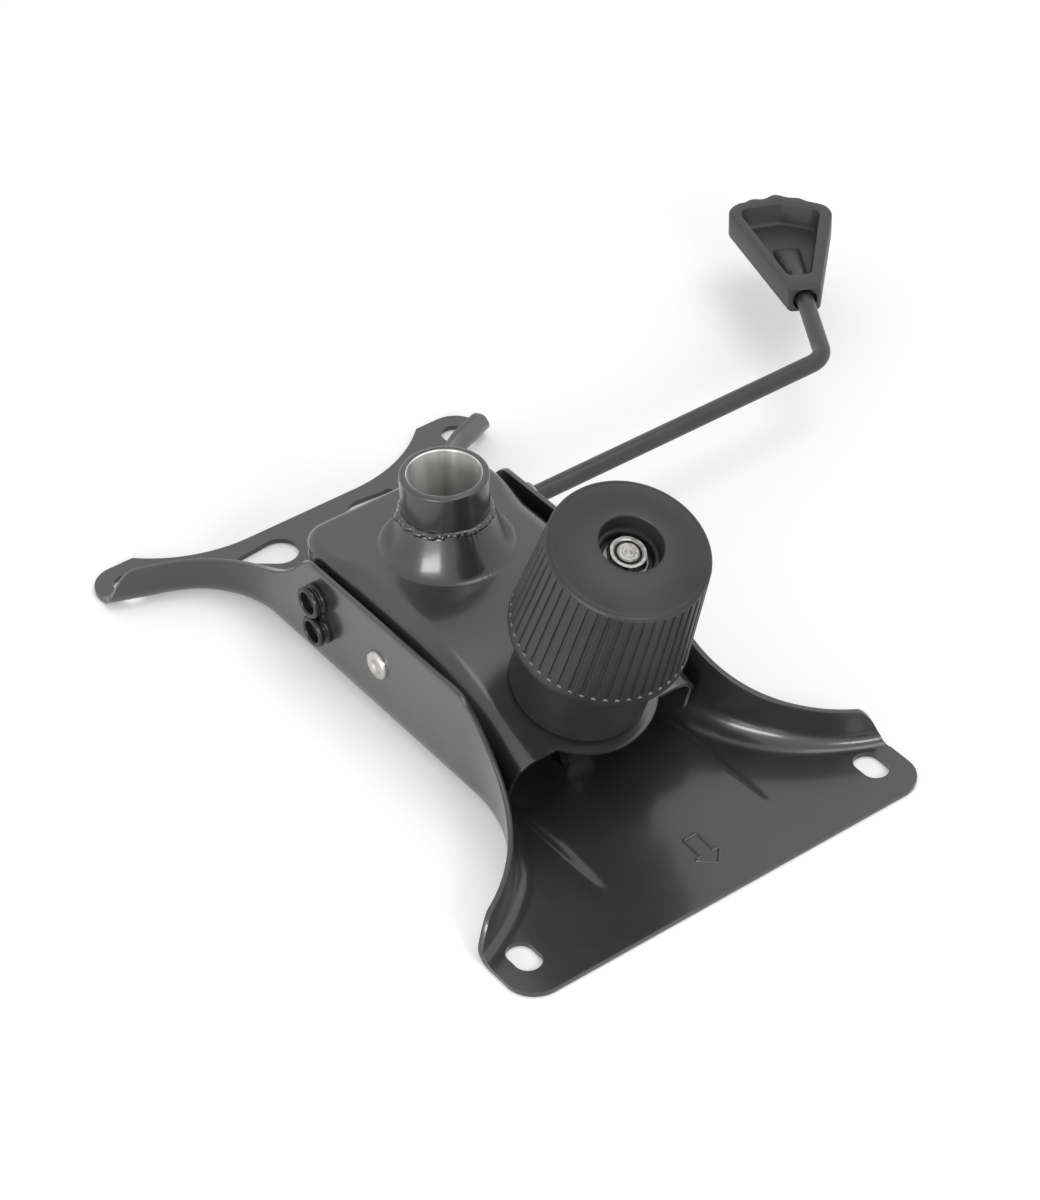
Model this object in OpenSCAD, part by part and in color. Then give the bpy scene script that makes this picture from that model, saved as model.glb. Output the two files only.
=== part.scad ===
// Office chair tilt mechanism, seen from below the seat: seat plate, tilting column housing,
// tension screw with its knob, and the height lever.
// Millimetres. The origin is the centre of the four seat slots on the seat face.
// +X points to the chair's front, +Y to the lever, +Z away from the seat, towards the column.

/* [Seat slots] */
// Spacing of the slots, front to rear
slot_span_x = 260; // [250:1:270]
// Spacing of the slots, side to side
slot_span_y = 160; // [154:1:166]
// Width of each slot
slot_w = 10.5; // [8:0.5:11]
// Length of each slot, end to end
slot_len = 15; // [13:0.5:16]

/* [Seat plate] */
// Thickness of the pressed sheet
sheet_t = 2; // [1.5:0.1:2.5]
// Play between the housing's sides and the plate's walls
side_play = 3.2; // [2.6:0.1:6]
// Height of the side walls over the seat face
wall_h = 49; // [47:0.5:52]
// Outer radius of the fold between floor and wall
bend_r = 5; // [4:0.5:7]
// Distance from the front slots back to where the front flange leaves the wall
front_run = 76; // [70:0.5:82]
// Distance from the rear slots forward to where the rear flange leaves the wall
rear_run = 53; // [48:0.5:58]
// Radius of the front flange, seen from above
front_sweep_r = 70; // [62:1:74]
// Radius of the rear flange, seen from above
rear_sweep_r = 40.5; // [36:0.5:44]
// Turn of the rear flange before it runs straight, in degrees
rear_sweep_turn = 68; // [60:1:74]
// Height of the front flange at the ears
front_flange_h = 12; // [10:0.5:16]
// Height of the rear flange at the ears
rear_flange_h = 17.5; // [14:0.5:20]
// Length over which the front flange falls away
front_fall = 33.5; // [28:0.5:38]
// Length over which the rear flange falls away
rear_fall = 26; // [22:0.5:30]
// Distance from the front slots to the front edge
front_margin = 18.7; // [16:0.1:24]
// Distance from the rear slots to the rear edge
rear_margin = 14.4; // [13:0.1:20]
// Distance from the slots to the ears' outer edge
side_margin = 12.5; // [11:0.5:16]
// Depth of the hollow in the rear edge between the ears
rear_hollow = 17.9; // [14:0.1:22]
// Half length of the straight middle of the rear edge
hollow_flat = 26; // [22:1:34]
// Corner radius of the ears
ear_r = 12; // [8:0.5:12]
// Half width of the raised panel on the front apron
panel_half = 35; // [30:1:38]
// Width of the panel's sloping sides
panel_slope = 4; // [3:0.5:6]
// Radius of the round end of the lightening holes
tear_r = 8; // [6:0.5:9]
// Distance of the lightening holes from the middle of the plate
tear_y = 21; // [18:0.5:24]
// Length of the lightening holes between the middles of their ends
tear_len = 15.66; // [12:0.1:18]

/* [Pivot] */
// Place of the pivot pin along the plate
pivot_x = -3.5; // [-5:0.5:0]
// Height of the pivot pin over the seat face
pivot_z = 28.8; // [27:0.2:31]
// Diameter of the pivot pin
pin_d = 10; // [8:0.5:11]
// Largest recline, in degrees
tilt_max = 12; // [8:0.5:12]
// Length of the rubber stop pads
pad_len = 14; // [10:0.5:16]
// Width of the front stop pads
pad_w = 5.6; // [4:0.2:6]
// Running clearance on a radius
run_gap = 0.05; // [0.02:0.01:0.1]

/* [Housing] */
// Width over the housing's sides
housing_w = 84; // [82:0.5:85]
// Height of the housing's flat top over the seat face
housing_top = 51; // [50:0.5:54]
// Distance of the housing's rear face behind the slot centre
housing_rear = 62; // [58:0.5:64]
// Outer radius of the housing's folds
fold_r = 10; // [7:0.5:12]
// Place of the crease between the flat top and the sloping floor
crease_x = 18; // [16:0.5:22]
// Height of the housing's lower edge at the front
skirt_z = 8; // [7.5:0.5:10]
// Height of the housing's lower edge at the rear
skirt_rear_z = 16; // [15.5:0.5:20]

/* [Column socket] */
// Place of the column's axis along the plate
lift_x = -23.3; // [-25:0.1:-22]
// Bore of the column socket
lift_id = 28; // [26:0.5:29]
// Outer diameter of the column socket
lift_od = 34; // [33:0.5:36]
// Height of the socket's rim over the seat face
lift_rim = 84; // [78:0.5:92]
// Height of the domed boss over the flat top
boss_h = 16; // [13:0.5:17]

/* [Tension screw] */
// Lean of the tension screw towards the front, in degrees
tension_lean = 20.5; // [18:0.5:22]
// Distance of the screw from the crease, down the sloping floor
axis_run = 42.3; // [40:0.1:45]
// Distance of the floor's straight lip ahead of the screw
lip_run = 19.5; // [17:0.5:22]
// Radius of the floor's round tongue
tongue_r = 30; // [28:0.5:32]
// Outer diameter of the spring sleeve
sleeve_d = 52.4; // [51:0.2:53]
// Height of the spring sleeve
sleeve_h = 44; // [40:0.5:46]
// Diameter of the tension bolt
bolt_d = 8; // [8:0.5:9]
// Height of the bolt's cross pin over the seat face
anchor_z = 11; // [10.5:0.1:13]
// Diameter of the knob's lower edge
knob_d = 66.8; // [65:0.2:70]
// Diameter of the knob's top
knob_top_d = 59.4; // [57:0.2:61]
// Height of the knob
knob_h = 51; // [49:0.5:54]
// Distance of the knob's lower edge over the sloping floor
knob_lift = 35.6; // [34.5:0.1:38]
// Number of grip ribs round the knob
rib_n = 48; // [24:1:60]
// Wire diameter of the tension spring
wire_d = 5; // [4:0.2:5.4]
// Number of the spring's curls
coils = 6.5; // [5.5:0.5:7]

/* [Height lever] */
// Diameter of the lever rod
rod_d = 7.5; // [7:0.1:7.8]
// Place of the rod along the plate
rod_x = -42; // [-43:0.2:-41]
// Height of the rod over the seat face
rod_z = 35.6; // [34.5:0.1:36]
// Distance of the rod's bend from the middle of the plate
lever_reach = 204; // [180:1:230]
// Turn of the rod at its bend, in degrees
lever_turn = 60; // [50:1:70]
// Distance from the bend to the paddle
leg_len = 38; // [34:1:50]
// Length of the paddle
paddle_len = 78; // [70:1:90]
// Width of the paddle
paddle_w = 44; // [40:1:50]
// Thickness of the paddle
paddle_t = 12; // [11:0.5:15]

/* [Hidden] */
$fn = 64;
big = 400;
channel_w = housing_w + 2 * (side_play + sheet_t);
wall_y = channel_w / 2;
wall_in = wall_y - sheet_t;
slot_x = slot_span_x / 2;
slot_y = slot_span_y / 2;
plate_half = slot_y + side_margin;
front_edge = slot_x + front_margin;
rear_edge = -slot_x - rear_margin;
rear_mid = rear_edge + rear_hollow;
front_tan = slot_x - front_run;
rear_tan = -slot_x + rear_run;
wall_front = front_tan - bend_r / 2;
wall_rear = rear_tan + rear_sweep_r * 2 / 3;
panel_rear = front_tan + panel_slope * 3;
hollow_r = (pow(slot_y - slot_w - hollow_flat, 2) + rear_hollow * rear_hollow) / (2 * rear_hollow);
tear_x = rear_mid + 2 * tear_r - 1;
pin_r = pin_d / 2;
head_r = pin_r + 1.6;
house_y = housing_w / 2;
house_in = house_y - sheet_t;
side_gap = wall_in - house_y;
lift_r = lift_od / 2;
lift_low = housing_top + 2;
boss_base_r = lift_r + 8.5;
boss_top_r = lift_r + 1.8;
foot_x = crease_x + axis_run * cos(tension_lean);
foot_z = housing_top - axis_run * sin(tension_lean);
anchor_drop = (foot_z - anchor_z) / cos(tension_lean);
anchor_x = foot_x - anchor_drop * sin(tension_lean);
anchor_pin_r = 4;
eye_r = anchor_pin_r + 3.6;
eye_half = 6;
lug_in = eye_half + 0.8;
lug_t = 3;
bolt_r = bolt_d / 2;
sleeve_r = sleeve_d / 2;
sleeve_wall = 1.6;
knob_r = knob_d / 2;
knob_top_r = knob_top_d / 2;
knob_top = knob_lift + knob_h;
knob_slope = atan((knob_r - knob_top_r) / knob_h);
web_top = knob_top - 8;
web_low = web_top - 5;
recess_r = 11.5;
nut_af = bolt_d * 1.625;
nut_h = 6;
washer_t = 2;
seat_t = 2;
spring_low = seat_t;
spring_high = web_low - 0.05 - washer_t;
coil_r = sleeve_r - sleeve_wall - 2.4 - wire_d / 2;
rod_r = rod_d / 2;
bush_r = rod_r + 2.8;
bush_neck_r = rod_r + 1.8;
bush_mouth_r = rod_r + 1.2;
bush_out = 5.4;
bush_lip = 1.2;
low_dx = 1.8;
low_dz = -12.8;
lever_bend_r = 12;
leg_in = 24;
rear_arm = housing_rear + pivot_x;
rear_drop = skirt_rear_z - pivot_z;
rear_low = pivot_z - rear_arm * sin(tilt_max) + rear_drop * cos(tilt_max);
rear_low_x = pivot_x - rear_arm * cos(tilt_max) - rear_drop * sin(tilt_max);

// Height of the wall's upper edge: level over the channel, falling away to both ears
function edge_z(x) =
    x > wall_front ? front_flange_h + (wall_h - front_flange_h) * exp(-(x - wall_front) / front_fall) :
    x < wall_rear ? rear_flange_h + (wall_h - rear_flange_h) * exp((x - wall_rear) / rear_fall) :
    wall_h;

// Outer and inner surface of the boss: half a cosine wave from its base to the tube
function boss_r_at(t) = boss_base_r + (boss_top_r - boss_base_r) * t;
function boss_z_at(t) = housing_top + boss_h * (1 - cos(180 * t)) / 2;

// Point on the spring's centre line, i rings along it, 8 rings to a curl
rings = round(coils * 8);
function coil_at(i) = [
    coil_r * cos(i * 45),
    coil_r * sin(i * 45),
    spring_low + wire_d / 2 + (spring_high - spring_low - wire_d) * i / rings];
function coil_point(i, k) =
    coil_at(i) + wire_d / 2 * [
        cos(60 * k) * cos(i * 45),
        cos(60 * k) * sin(i * 45),
        sin(60 * k)];
coil_gap = min([for (i = [0 : rings - 5]) for (j = [i + 5 : rings]) norm(coil_at(i) - coil_at(j))]) - wire_d;
echo(spring_least_gap_mm = coil_gap);

// Children and their mirror image on the other side of the plate
module both_sides() {
    children();
    mirror([0, 1, 0]) children();
}

// Round bar across the plate, from y0 to y1
module bar_y(x, z, r, y0, y1) {
    translate([x, y0, z]) rotate([-90, 0, 0]) cylinder(r = r, h = y1 - y0);
}

// Flat shape in X and Z, drawn out across the plate from y0 to y1
module slab_y(y0, y1) {
    translate([0, y1, 0]) rotate([90, 0, 0]) linear_extrude(y1 - y0) children();
}

// Children stand on the sloping floor, along the tension screw
module on_screw() {
    translate([foot_x, 0, foot_z]) rotate([0, tension_lean, 0]) children();
}

// Flat ring
module ring(r_out, r_in, h) {
    difference() {
        cylinder(r = r_out, h = h);
        translate([0, 0, -1]) cylinder(r = r_in, h = h + 2);
    }
}

// Section of the folded flange, thinned by g: u runs inwards from the outer face, z upwards
module flange_section(g) {
    steps = 8;
    outer_r = bend_r - g;
    inner_r = bend_r - sheet_t - 0.04 + g;
    polygon(concat(
        [for (i = [0 : steps]) let (a = 90 * i / steps)
            [bend_r - outer_r * sin(a), bend_r - outer_r * cos(a)]],
        [[bend_r - outer_r, wall_h]],
        [[bend_r - inner_r, wall_h]],
        [for (i = [steps : -1 : 0]) let (a = 90 * i / steps)
            [bend_r - inner_r * sin(a), bend_r - inner_r * cos(a)]]));
}

// Flange on the lever side: front sweep, straight wall, rear sweep and its straight end.
// The straight runs are a hair thinner and end inside the sweeps.
module flange_run() {
    sweep_g = 0.02;
    run_g = 0.05;
    into = 0.8;
    translate([rear_tan - into, 0, 0]) rotate([90, 0, 90])
        linear_extrude(front_tan - rear_tan + 2 * into)
            translate([wall_y, 0]) mirror([1, 0]) flange_section(run_g);
    translate([front_tan, wall_y + front_sweep_r, 0]) rotate([0, 0, -90])
        rotate_extrude(angle = 84) translate([front_sweep_r, 0]) flange_section(sweep_g);
    translate([rear_tan, wall_y + rear_sweep_r, 0]) rotate([0, 0, -90 - rear_sweep_turn]) {
        rotate_extrude(angle = rear_sweep_turn) translate([rear_sweep_r, 0]) flange_section(sweep_g);
        translate([0, into, 0]) rotate([90, 0, 0]) linear_extrude(60)
            translate([rear_sweep_r, 0]) flange_section(run_g);
    }
}

// Space outside the flange, taken d further into the plate; its arcs start tuck inside the flange's own
module outside(d) {
    tuck = 0.35;
    cut = 0.06;
    rear_x = rear_tan + tuck;
    front_x = front_tan - tuck;
    translate([rear_x, wall_y - d + cut]) square([front_x - rear_x, big]);
    translate([front_x, wall_y + front_sweep_r]) circle(front_sweep_r + d);
    translate([rear_x, wall_y + rear_sweep_r]) circle(rear_sweep_r + d);
    translate([rear_x, wall_y + rear_sweep_r]) rotate([0, 0, -90 - rear_sweep_turn + 1])
        translate([0, -big]) square([rear_sweep_r + d - cut, big]);
}

// Plain outline with round ear corners and the hollow in the rear edge
module plate_outline() {
    difference() {
        union() {
            translate([rear_edge, -plate_half + ear_r])
                square([front_edge - rear_edge, 2 * (plate_half - ear_r)]);
            translate([rear_edge + ear_r, -plate_half])
                square([front_edge - rear_edge - 2 * ear_r, 2 * plate_half]);
            for (x = [rear_edge + ear_r, front_edge - ear_r], y = [-1, 1])
                translate([x, y * (plate_half - ear_r)]) circle(ear_r);
        }
        translate([rear_mid - big, -hollow_flat]) square([big, 2 * hollow_flat]);
        for (s = [-1, 1]) translate([rear_mid - hollow_r, s * hollow_flat]) circle(hollow_r);
    }
}

// Slot that runs front to rear
module slot_shape() {
    for (s = [-1, 1]) translate([s * (slot_len - slot_w) / 2, 0]) circle(slot_w / 2);
    square([slot_len - slot_w, slot_w], center = true);
}

// Lightening hole, round towards the middle and narrow outwards
module tear_shape() {
    small_r = tear_r / 4;
    cut = 0.03;
    swing = acos((tear_r - small_r) / tear_len);
    translate([tear_x, tear_y]) rotate(106.7) {
        circle(tear_r);
        translate([tear_len, 0]) circle(small_r);
        polygon([
            (tear_r - cut) * [cos(swing), sin(swing)],
            (tear_r - cut) * [cos(swing), -sin(swing)],
            [tear_len, 0] + (small_r - cut) * [cos(swing), -sin(swing)],
            [tear_len, 0] + (small_r - cut) * [cos(swing), sin(swing)]]);
    }
}

// Side view that the flange is trimmed to
module flange_trim() {
    front_tip = front_tan + 0.957 * front_sweep_r;
    rear_tip = rear_tan - 1.062 * rear_sweep_r;
    polygon(concat(
        [[front_tip + 8, -1]],
        [[front_tip + 5, 3]],
        [for (i = [0 : 20]) let (x = front_tip - i * (front_tip - wall_front) / 20) [x, edge_z(x)]],
        [for (i = [0 : 20]) let (x = wall_rear - i * (wall_rear - rear_tip) / 20) [x, edge_z(x)]],
        [[rear_tip - 2.6, bend_r + 0.5]],
        [[rear_tip - 14, bend_r]],
        [[rear_tip - 14, -1]]));
}

// Pressed seat plate
module seat_plate() {
    color([0.05, 0.05, 0.055]) difference() {
        union() {
            linear_extrude(sheet_t) difference() {
                plate_outline();
                outside(bend_r - 0.4);
                mirror([0, 1]) outside(bend_r - 0.4);
                translate([panel_rear + 3, -panel_half - panel_slope])
                    square([big, 2 * (panel_half + panel_slope)]);
            }
            translate([panel_rear, 0, 0]) rotate([90, 0, 90])
                linear_extrude(front_edge - panel_rear) polygon([
                    [-panel_half - panel_slope, 0],
                    [-panel_half, sheet_t],
                    [panel_half, sheet_t],
                    [panel_half + panel_slope, 0],
                    [panel_half + panel_slope, sheet_t],
                    [panel_half, 2 * sheet_t],
                    [-panel_half, 2 * sheet_t],
                    [-panel_half - panel_slope, sheet_t]]);
            both_sides() intersection() {
                flange_run();
                slab_y(0, plate_half) flange_trim();
            }
        }
        for (x = [-1, 1], y = [-1, 1]) translate([x * slot_x, y * slot_y, -1])
            linear_extrude(14) slot_shape();
        both_sides() translate([0, 0, -1]) linear_extrude(sheet_t + 2) tear_shape();
        bar_y(pivot_x, pivot_z, pin_r + run_gap, -big, big);
        bar_y(rod_x, rod_z, bush_neck_r + run_gap, -big, big);
        bar_y(rod_x + low_dx, rod_z + low_dz, bush_neck_r + run_gap, -big, big);
    }
}

// Profile of one bush barrel: lip inside the wall, neck in the hole, ringed barrel outside
module barrel(r_hole) {
    rotate_extrude() polygon([
        [r_hole, -sheet_t - bush_lip],
        [bush_r, -sheet_t - bush_lip],
        [bush_r, -sheet_t],
        [bush_neck_r, -sheet_t],
        [bush_neck_r, 0],
        [bush_r, 0],
        [bush_r, 1.8],
        [bush_r - 0.7, 2.2],
        [bush_r - 0.7, 3],
        [bush_r, 3.4],
        [bush_r, bush_out - 0.8],
        [bush_r - 0.8, bush_out],
        [r_hole, bush_out]]);
}

// Double bush in the lever-side wall: upper hole for the rod, lower hole free
module double_bush() {
    difference() {
        union() {
            translate([rod_x, wall_y, rod_z]) rotate([-90, 0, 0]) barrel(rod_r + run_gap);
            translate([rod_x + low_dx, wall_y, rod_z + low_dz]) rotate([-90, 0, 0]) barrel(rod_r + run_gap);
            slab_y(wall_y, wall_y + 1.8) polygon([
                [rod_x - 4, rod_z],
                [rod_x + 4, rod_z],
                [rod_x + low_dx + 4, rod_z + low_dz],
                [rod_x + low_dx - 4, rod_z + low_dz]]);
        }
        bar_y(rod_x, rod_z, rod_r + run_gap, 0, big);
        bar_y(rod_x, rod_z, bush_mouth_r, wall_y + 2, big);
        bar_y(rod_x + low_dx, rod_z + low_dz, rod_r + run_gap, 0, big);
        bar_y(rod_x + low_dx, rod_z + low_dz, bush_mouth_r, wall_y + 2, big);
    }
}

module near_bush() {
    color([0.07, 0.07, 0.07]) mirror([0, 1, 0]) double_bush();
}

module far_bush() {
    color([0.07, 0.07, 0.07]) double_bush();
}

// Riveted pivot pin with a dished head on each wall
module pivot_pin() {
    color([0.72, 0.71, 0.68]) {
        bar_y(pivot_x, pivot_z, pin_r, -wall_y, wall_y);
        both_sides() translate([pivot_x, wall_y, pivot_z]) rotate([-90, 0, 0])
            rotate_extrude() polygon([
                [0, 0],
                [head_r, 0],
                [head_r, 0.9],
                [head_r - 1.2, 2.1],
                [2.4, 2.5],
                [1.2, 1.7],
                [0, 1.5]]);
    }
}

// Two lugs on the plate's floor that hold the bolt's cross pin
module anchor_lugs() {
    color([0.06, 0.06, 0.065]) both_sides() difference() {
        slab_y(lug_in, lug_in + lug_t) {
            translate([anchor_x, anchor_z]) circle(eye_r);
            polygon([
                [anchor_x - eye_r - 5, sheet_t],
                [anchor_x + eye_r + 5, sheet_t],
                [anchor_x + eye_r, anchor_z],
                [anchor_x - eye_r, anchor_z]]);
        }
        bar_y(anchor_x, anchor_z, anchor_pin_r + 0.02, 0, 40);
        translate([-big, 0, sheet_t - big]) cube([2 * big, 40, big]);
    }
}

// Cross pin through the lugs and the bolt's eye
module anchor_pin() {
    color([0.6, 0.6, 0.6]) bar_y(anchor_x, anchor_z, anchor_pin_r,
        -lug_in - lug_t - 2.4, lug_in + lug_t + 2.4);
}

// Retaining clips on the cross pin
module anchor_clips() {
    color([0.5, 0.5, 0.5]) both_sides() translate([anchor_x, lug_in + lug_t, anchor_z])
        rotate([-90, 0, 0]) ring(anchor_pin_r + 2.6, anchor_pin_r, 1.2);
}

// Rubber pads that the housing's sides rest on when upright
module upright_stops() {
    color([0.04, 0.04, 0.04]) both_sides()
        translate([anchor_x - anchor_pin_r - pad_len, wall_y - bend_r - pad_w, sheet_t])
            cube([pad_len, pad_w, skirt_z - sheet_t - 0.1]);
}

// Rubber pads that the housing's rear edge meets at full recline
module recline_stops() {
    color([0.04, 0.04, 0.04]) both_sides()
        translate([rear_low_x - pad_len / 2, house_y / 3, sheet_t])
            cube([pad_len, house_in / 2, rear_low - 0.3 - sheet_t]);
}

// Section across the housing, its flat at z = 0: inset d from the outside
module house_section(d) {
    steps = 8;
    mid = house_y - fold_r;
    polygon(concat(
        [[-house_y + d, -90]],
        [for (i = [0 : steps]) let (a = 180 - 90 * i / steps)
            [-mid + (fold_r - d) * cos(a), -fold_r + (fold_r - d) * sin(a)]],
        [for (i = [0 : steps]) let (a = 90 - 90 * i / steps)
            [mid + (fold_r - d) * cos(a), -fold_r + (fold_r - d) * sin(a)]],
        [[house_y - d, -90]]));
}

// Side view of the housing's rear end, inset d
module house_side(d) {
    translate([-housing_rear + fold_r, -90]) square([200, 90 + housing_top - d]);
    translate([-housing_rear + d, -90]) square([200, 90 + housing_top - fold_r]);
    translate([-housing_rear + fold_r, housing_top - fold_r]) circle(fold_r - d);
}

// Plan of the housing's rear end, inset d
module house_plan(d) {
    corner = fold_r + 2;
    translate([-housing_rear + corner, -house_y + d]) square([200, housing_w - 2 * d]);
    translate([-housing_rear + d, -house_y + corner]) square([200, housing_w - 2 * corner]);
    for (s = [-1, 1]) translate([-housing_rear + corner, s * (house_y - corner)]) circle(corner - d);
}

// Half space on one side of the crease: 0 is behind it and laps a little over it, 1 is ahead of it
module crease_side(ahead) {
    lap = 0.4;
    translate([crease_x, 0, housing_top]) rotate([0, tension_lean / 2, 0])
        translate([ahead ? 0 : lap - big, -big, -big]) cube([big, 2 * big, 2 * big]);
}

// Solid of the housing's flat rear part, inset d
module house_rear_part(d) {
    intersection() {
        translate([-100, 0, housing_top]) rotate([90, 0, 90]) linear_extrude(160) house_section(d);
        slab_y(-100, 100) house_side(d);
        translate([0, 0, -100]) linear_extrude(200) house_plan(d);
        crease_side(false);
    }
}

// Solid of the housing's sloping front part, inset d, reaching e past the lip
module house_front_part(d, e) {
    intersection() {
        translate([crease_x, 0, housing_top]) rotate([0, tension_lean, 0]) translate([-40, 0, 0])
            rotate([90, 0, 90]) linear_extrude(40 + axis_run + lip_run + e) house_section(d);
        crease_side(true);
    }
}

// Space above the housing's lower edge
module above_skirt() {
    slab_y(-100, 100) polygon([
        [-housing_rear - 1, skirt_rear_z],
        [pivot_x, skirt_z],
        [150, skirt_z],
        [150, 150],
        [-housing_rear - 1, 150]]);
}

// Domed boss of sheet round the socket
module boss() {
    translate([lift_x, 0, 0]) rotate_extrude() polygon(concat(
        [for (i = [0 : 12]) [boss_r_at(i / 12), boss_z_at(i / 12)]],
        [[lift_r + run_gap, housing_top + boss_h]],
        [[lift_r + run_gap, housing_top + boss_h - sheet_t]],
        [for (i = [12 : -1 : 0]) [boss_r_at(i / 12) - 1.5, boss_z_at(i / 12) - sheet_t]]));
}

// Drawn housing with its boss, sloping floor and round tongue
module tilt_housing() {
    color([0.045, 0.045, 0.05]) difference() {
        union() {
            difference() {
                intersection() {
                    union() {
                        house_rear_part(0);
                        house_front_part(0, 0);
                    }
                    above_skirt();
                }
                house_rear_part(sheet_t);
                house_front_part(sheet_t, 5);
                translate([lift_x, 0, housing_top - 10]) cylinder(r = boss_base_r - 1.5, h = 40);
            }
            boss();
            on_screw() translate([0, 0, -sheet_t]) intersection() {
                cylinder(r = tongue_r, h = sheet_t);
                translate([0, -100, -1]) cube([100, 200, 20]);
            }
        }
        on_screw() translate([0, 0, -20]) cylinder(r = bolt_r + 4, h = 40);
        bar_y(pivot_x, pivot_z, pin_r + 1.5 + run_gap, -big, big);
        slab_y(-60, 60) {
            translate([rod_x + 1.2, housing_top - 8.2]) circle(rod_r + 1.8);
            translate([rod_x + 1.2 - rod_r - 1.8, 0]) square([2 * rod_r + 3.6, housing_top - 8.2]);
        }
    }
}

// Socket for the gas-lift column
module gas_lift_tube() {
    color([0.1, 0.1, 0.1]) translate([lift_x, 0, 0]) rotate_extrude() polygon([
        [lift_id / 2, lift_low],
        [lift_r, lift_low],
        [lift_r, lift_rim - 0.6],
        [lift_r - 0.6, lift_rim],
        [lift_id / 2 + 0.4, lift_rim],
        [lift_id / 2, lift_rim - 0.4]]);
}

// Weld between boss and socket
module weld_bead() {
    color([0.06, 0.06, 0.06]) translate([lift_x, 0, housing_top + boss_h]) rotate_extrude()
        intersection() {
            translate([lift_r, 0]) circle(1.8);
            translate([lift_r, 0]) square(4);
        }
}

// Flanged bushes that turn on the pivot pin
module pivot_bushes() {
    color([0.75, 0.73, 0.66]) both_sides() translate([pivot_x, 0, pivot_z]) rotate([-90, 0, 0])
        difference() {
            union() {
                translate([0, 0, house_in - 1]) cylinder(r = pin_r + 1.5, h = sheet_t + 1.2);
                translate([0, 0, house_y]) cylinder(r = pin_r + 4, h = side_gap - 0.3);
            }
            cylinder(r = pin_r + run_gap, h = big);
        }
}

// Sleeve that covers the spring
module spring_sleeve() {
    color([0.09, 0.09, 0.095]) on_screw() ring(sleeve_r, sleeve_r - sleeve_wall, sleeve_h);
}

// Washer under the spring
module spring_seat() {
    color([0.55, 0.55, 0.55]) on_screw() ring(sleeve_r - sleeve_wall - 0.2, bolt_r + 4, seat_t);
}

// Compression spring, one tube along a rising circle
module tension_spring() {
    color([0.3, 0.3, 0.31]) on_screw() polyhedron(
        points = [for (i = [0 : rings]) for (k = [0 : 5]) coil_point(i, k)],
        faces = concat(
            [for (k = [1 : 4]) [0, k, k + 1]],
            [for (i = [0 : rings - 1]) for (k = [0 : 5])
                [i * 6 + k, (i + 1) * 6 + k, (i + 1) * 6 + (k + 1) % 6]],
            [for (i = [0 : rings - 1]) for (k = [0 : 5])
                [i * 6 + k, (i + 1) * 6 + (k + 1) % 6, i * 6 + (k + 1) % 6]],
            [for (k = [1 : 4]) [rings * 6, rings * 6 + k + 1, rings * 6 + k]]));
}

// Bolt with an eye on the cross pin
module tension_bolt() {
    color([0.7, 0.69, 0.66]) difference() {
        union() {
            on_screw() translate([0, 0, -anchor_drop])
                cylinder(r = bolt_r, h = anchor_drop + web_top + nut_h - 0.4);
            bar_y(anchor_x, anchor_z, eye_r, -eye_half, eye_half);
        }
        bar_y(anchor_x, anchor_z, anchor_pin_r + run_gap, -20, 20);
    }
}

// Washer between spring and knob
module thrust_washer() {
    color([0.6, 0.6, 0.58]) on_screw() translate([0, 0, spring_high])
        ring(coil_r + wire_d / 2 + 1, bolt_r + run_gap, washer_t);
}

// Outer radius of the knob at height s over the floor
function knob_r_at(s) = knob_r + (knob_top_r - knob_r) * (s - knob_lift) / knob_h;

// Knob: a ribbed cup with a recess for the nut
module tension_knob() {
    edge = 2.2;
    color([0.1, 0.1, 0.105]) on_screw() difference() {
        union() {
            rotate_extrude() polygon(concat(
                [[bolt_r + 0.4, web_low]],
                [[knob_r_at(web_low) - 2.4, web_low]],
                [[knob_r - 2.4, knob_lift]],
                [[knob_r - 0.6, knob_lift]],
                [[knob_r, knob_lift + 0.8]],
                [[knob_r, knob_lift + 4]],
                [[knob_r_at(knob_lift + 6) - 0.4, knob_lift + 5]],
                [for (i = [0 : 6]) [
                    knob_r_at(knob_top - edge) - 0.4 - edge + edge * cos(15 * i),
                    knob_top - edge + edge * sin(15 * i)]],
                [[recess_r + 1, knob_top]],
                [[recess_r, knob_top - 1]],
                [[recess_r, web_top]],
                [[bolt_r + 0.4, web_top]]));
            for (i = [0 : rib_n - 1]) rotate([0, 0, i * 360 / rib_n])
                translate([knob_r_at(knob_lift + 5) - 0.9, 0, knob_lift + 5]) rotate([0, -knob_slope, 0])
                    cylinder(r = 1.1, h = knob_h - 5 - edge, $fn = 4);
        }
    }
}

// Nut pressed into the knob's recess
module knob_nut() {
    color([0.75, 0.74, 0.7]) on_screw() translate([0, 0, web_top]) difference() {
        union() {
            cylinder(r = nut_af / sqrt(3), h = nut_h - 1, $fn = 6);
            cylinder(r = nut_af / 2 - 0.4, h = nut_h);
            cylinder(r = recess_r - 0.3, h = 1.2);
        }
        translate([0, 0, -1]) cylinder(r = bolt_r + run_gap, h = nut_h + 2);
    }
}

// Children lie along the lever's leg, from the corner of its bend
module on_leg() {
    translate([rod_x, lever_reach, rod_z]) rotate([0, 0, 90 + lever_turn]) children();
}

// Rod with one bend, which the bending swells a little
module lever_rod() {
    cut = lever_bend_r * tan(lever_turn / 2);
    color([0.06, 0.06, 0.06]) {
        bar_y(rod_x, rod_z, rod_r, -wall_y - 1.2, lever_reach - cut + 0.5);
        translate([rod_x - lever_bend_r, lever_reach - cut, rod_z])
            rotate_extrude(angle = lever_turn) translate([lever_bend_r, 0]) circle(rod_r + 0.06);
        on_leg() translate([cut - 0.5, 0, 0]) rotate([0, 90, 0])
            cylinder(r = rod_r, h = leg_len + leg_in - cut + 0.5);
    }
}

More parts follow.
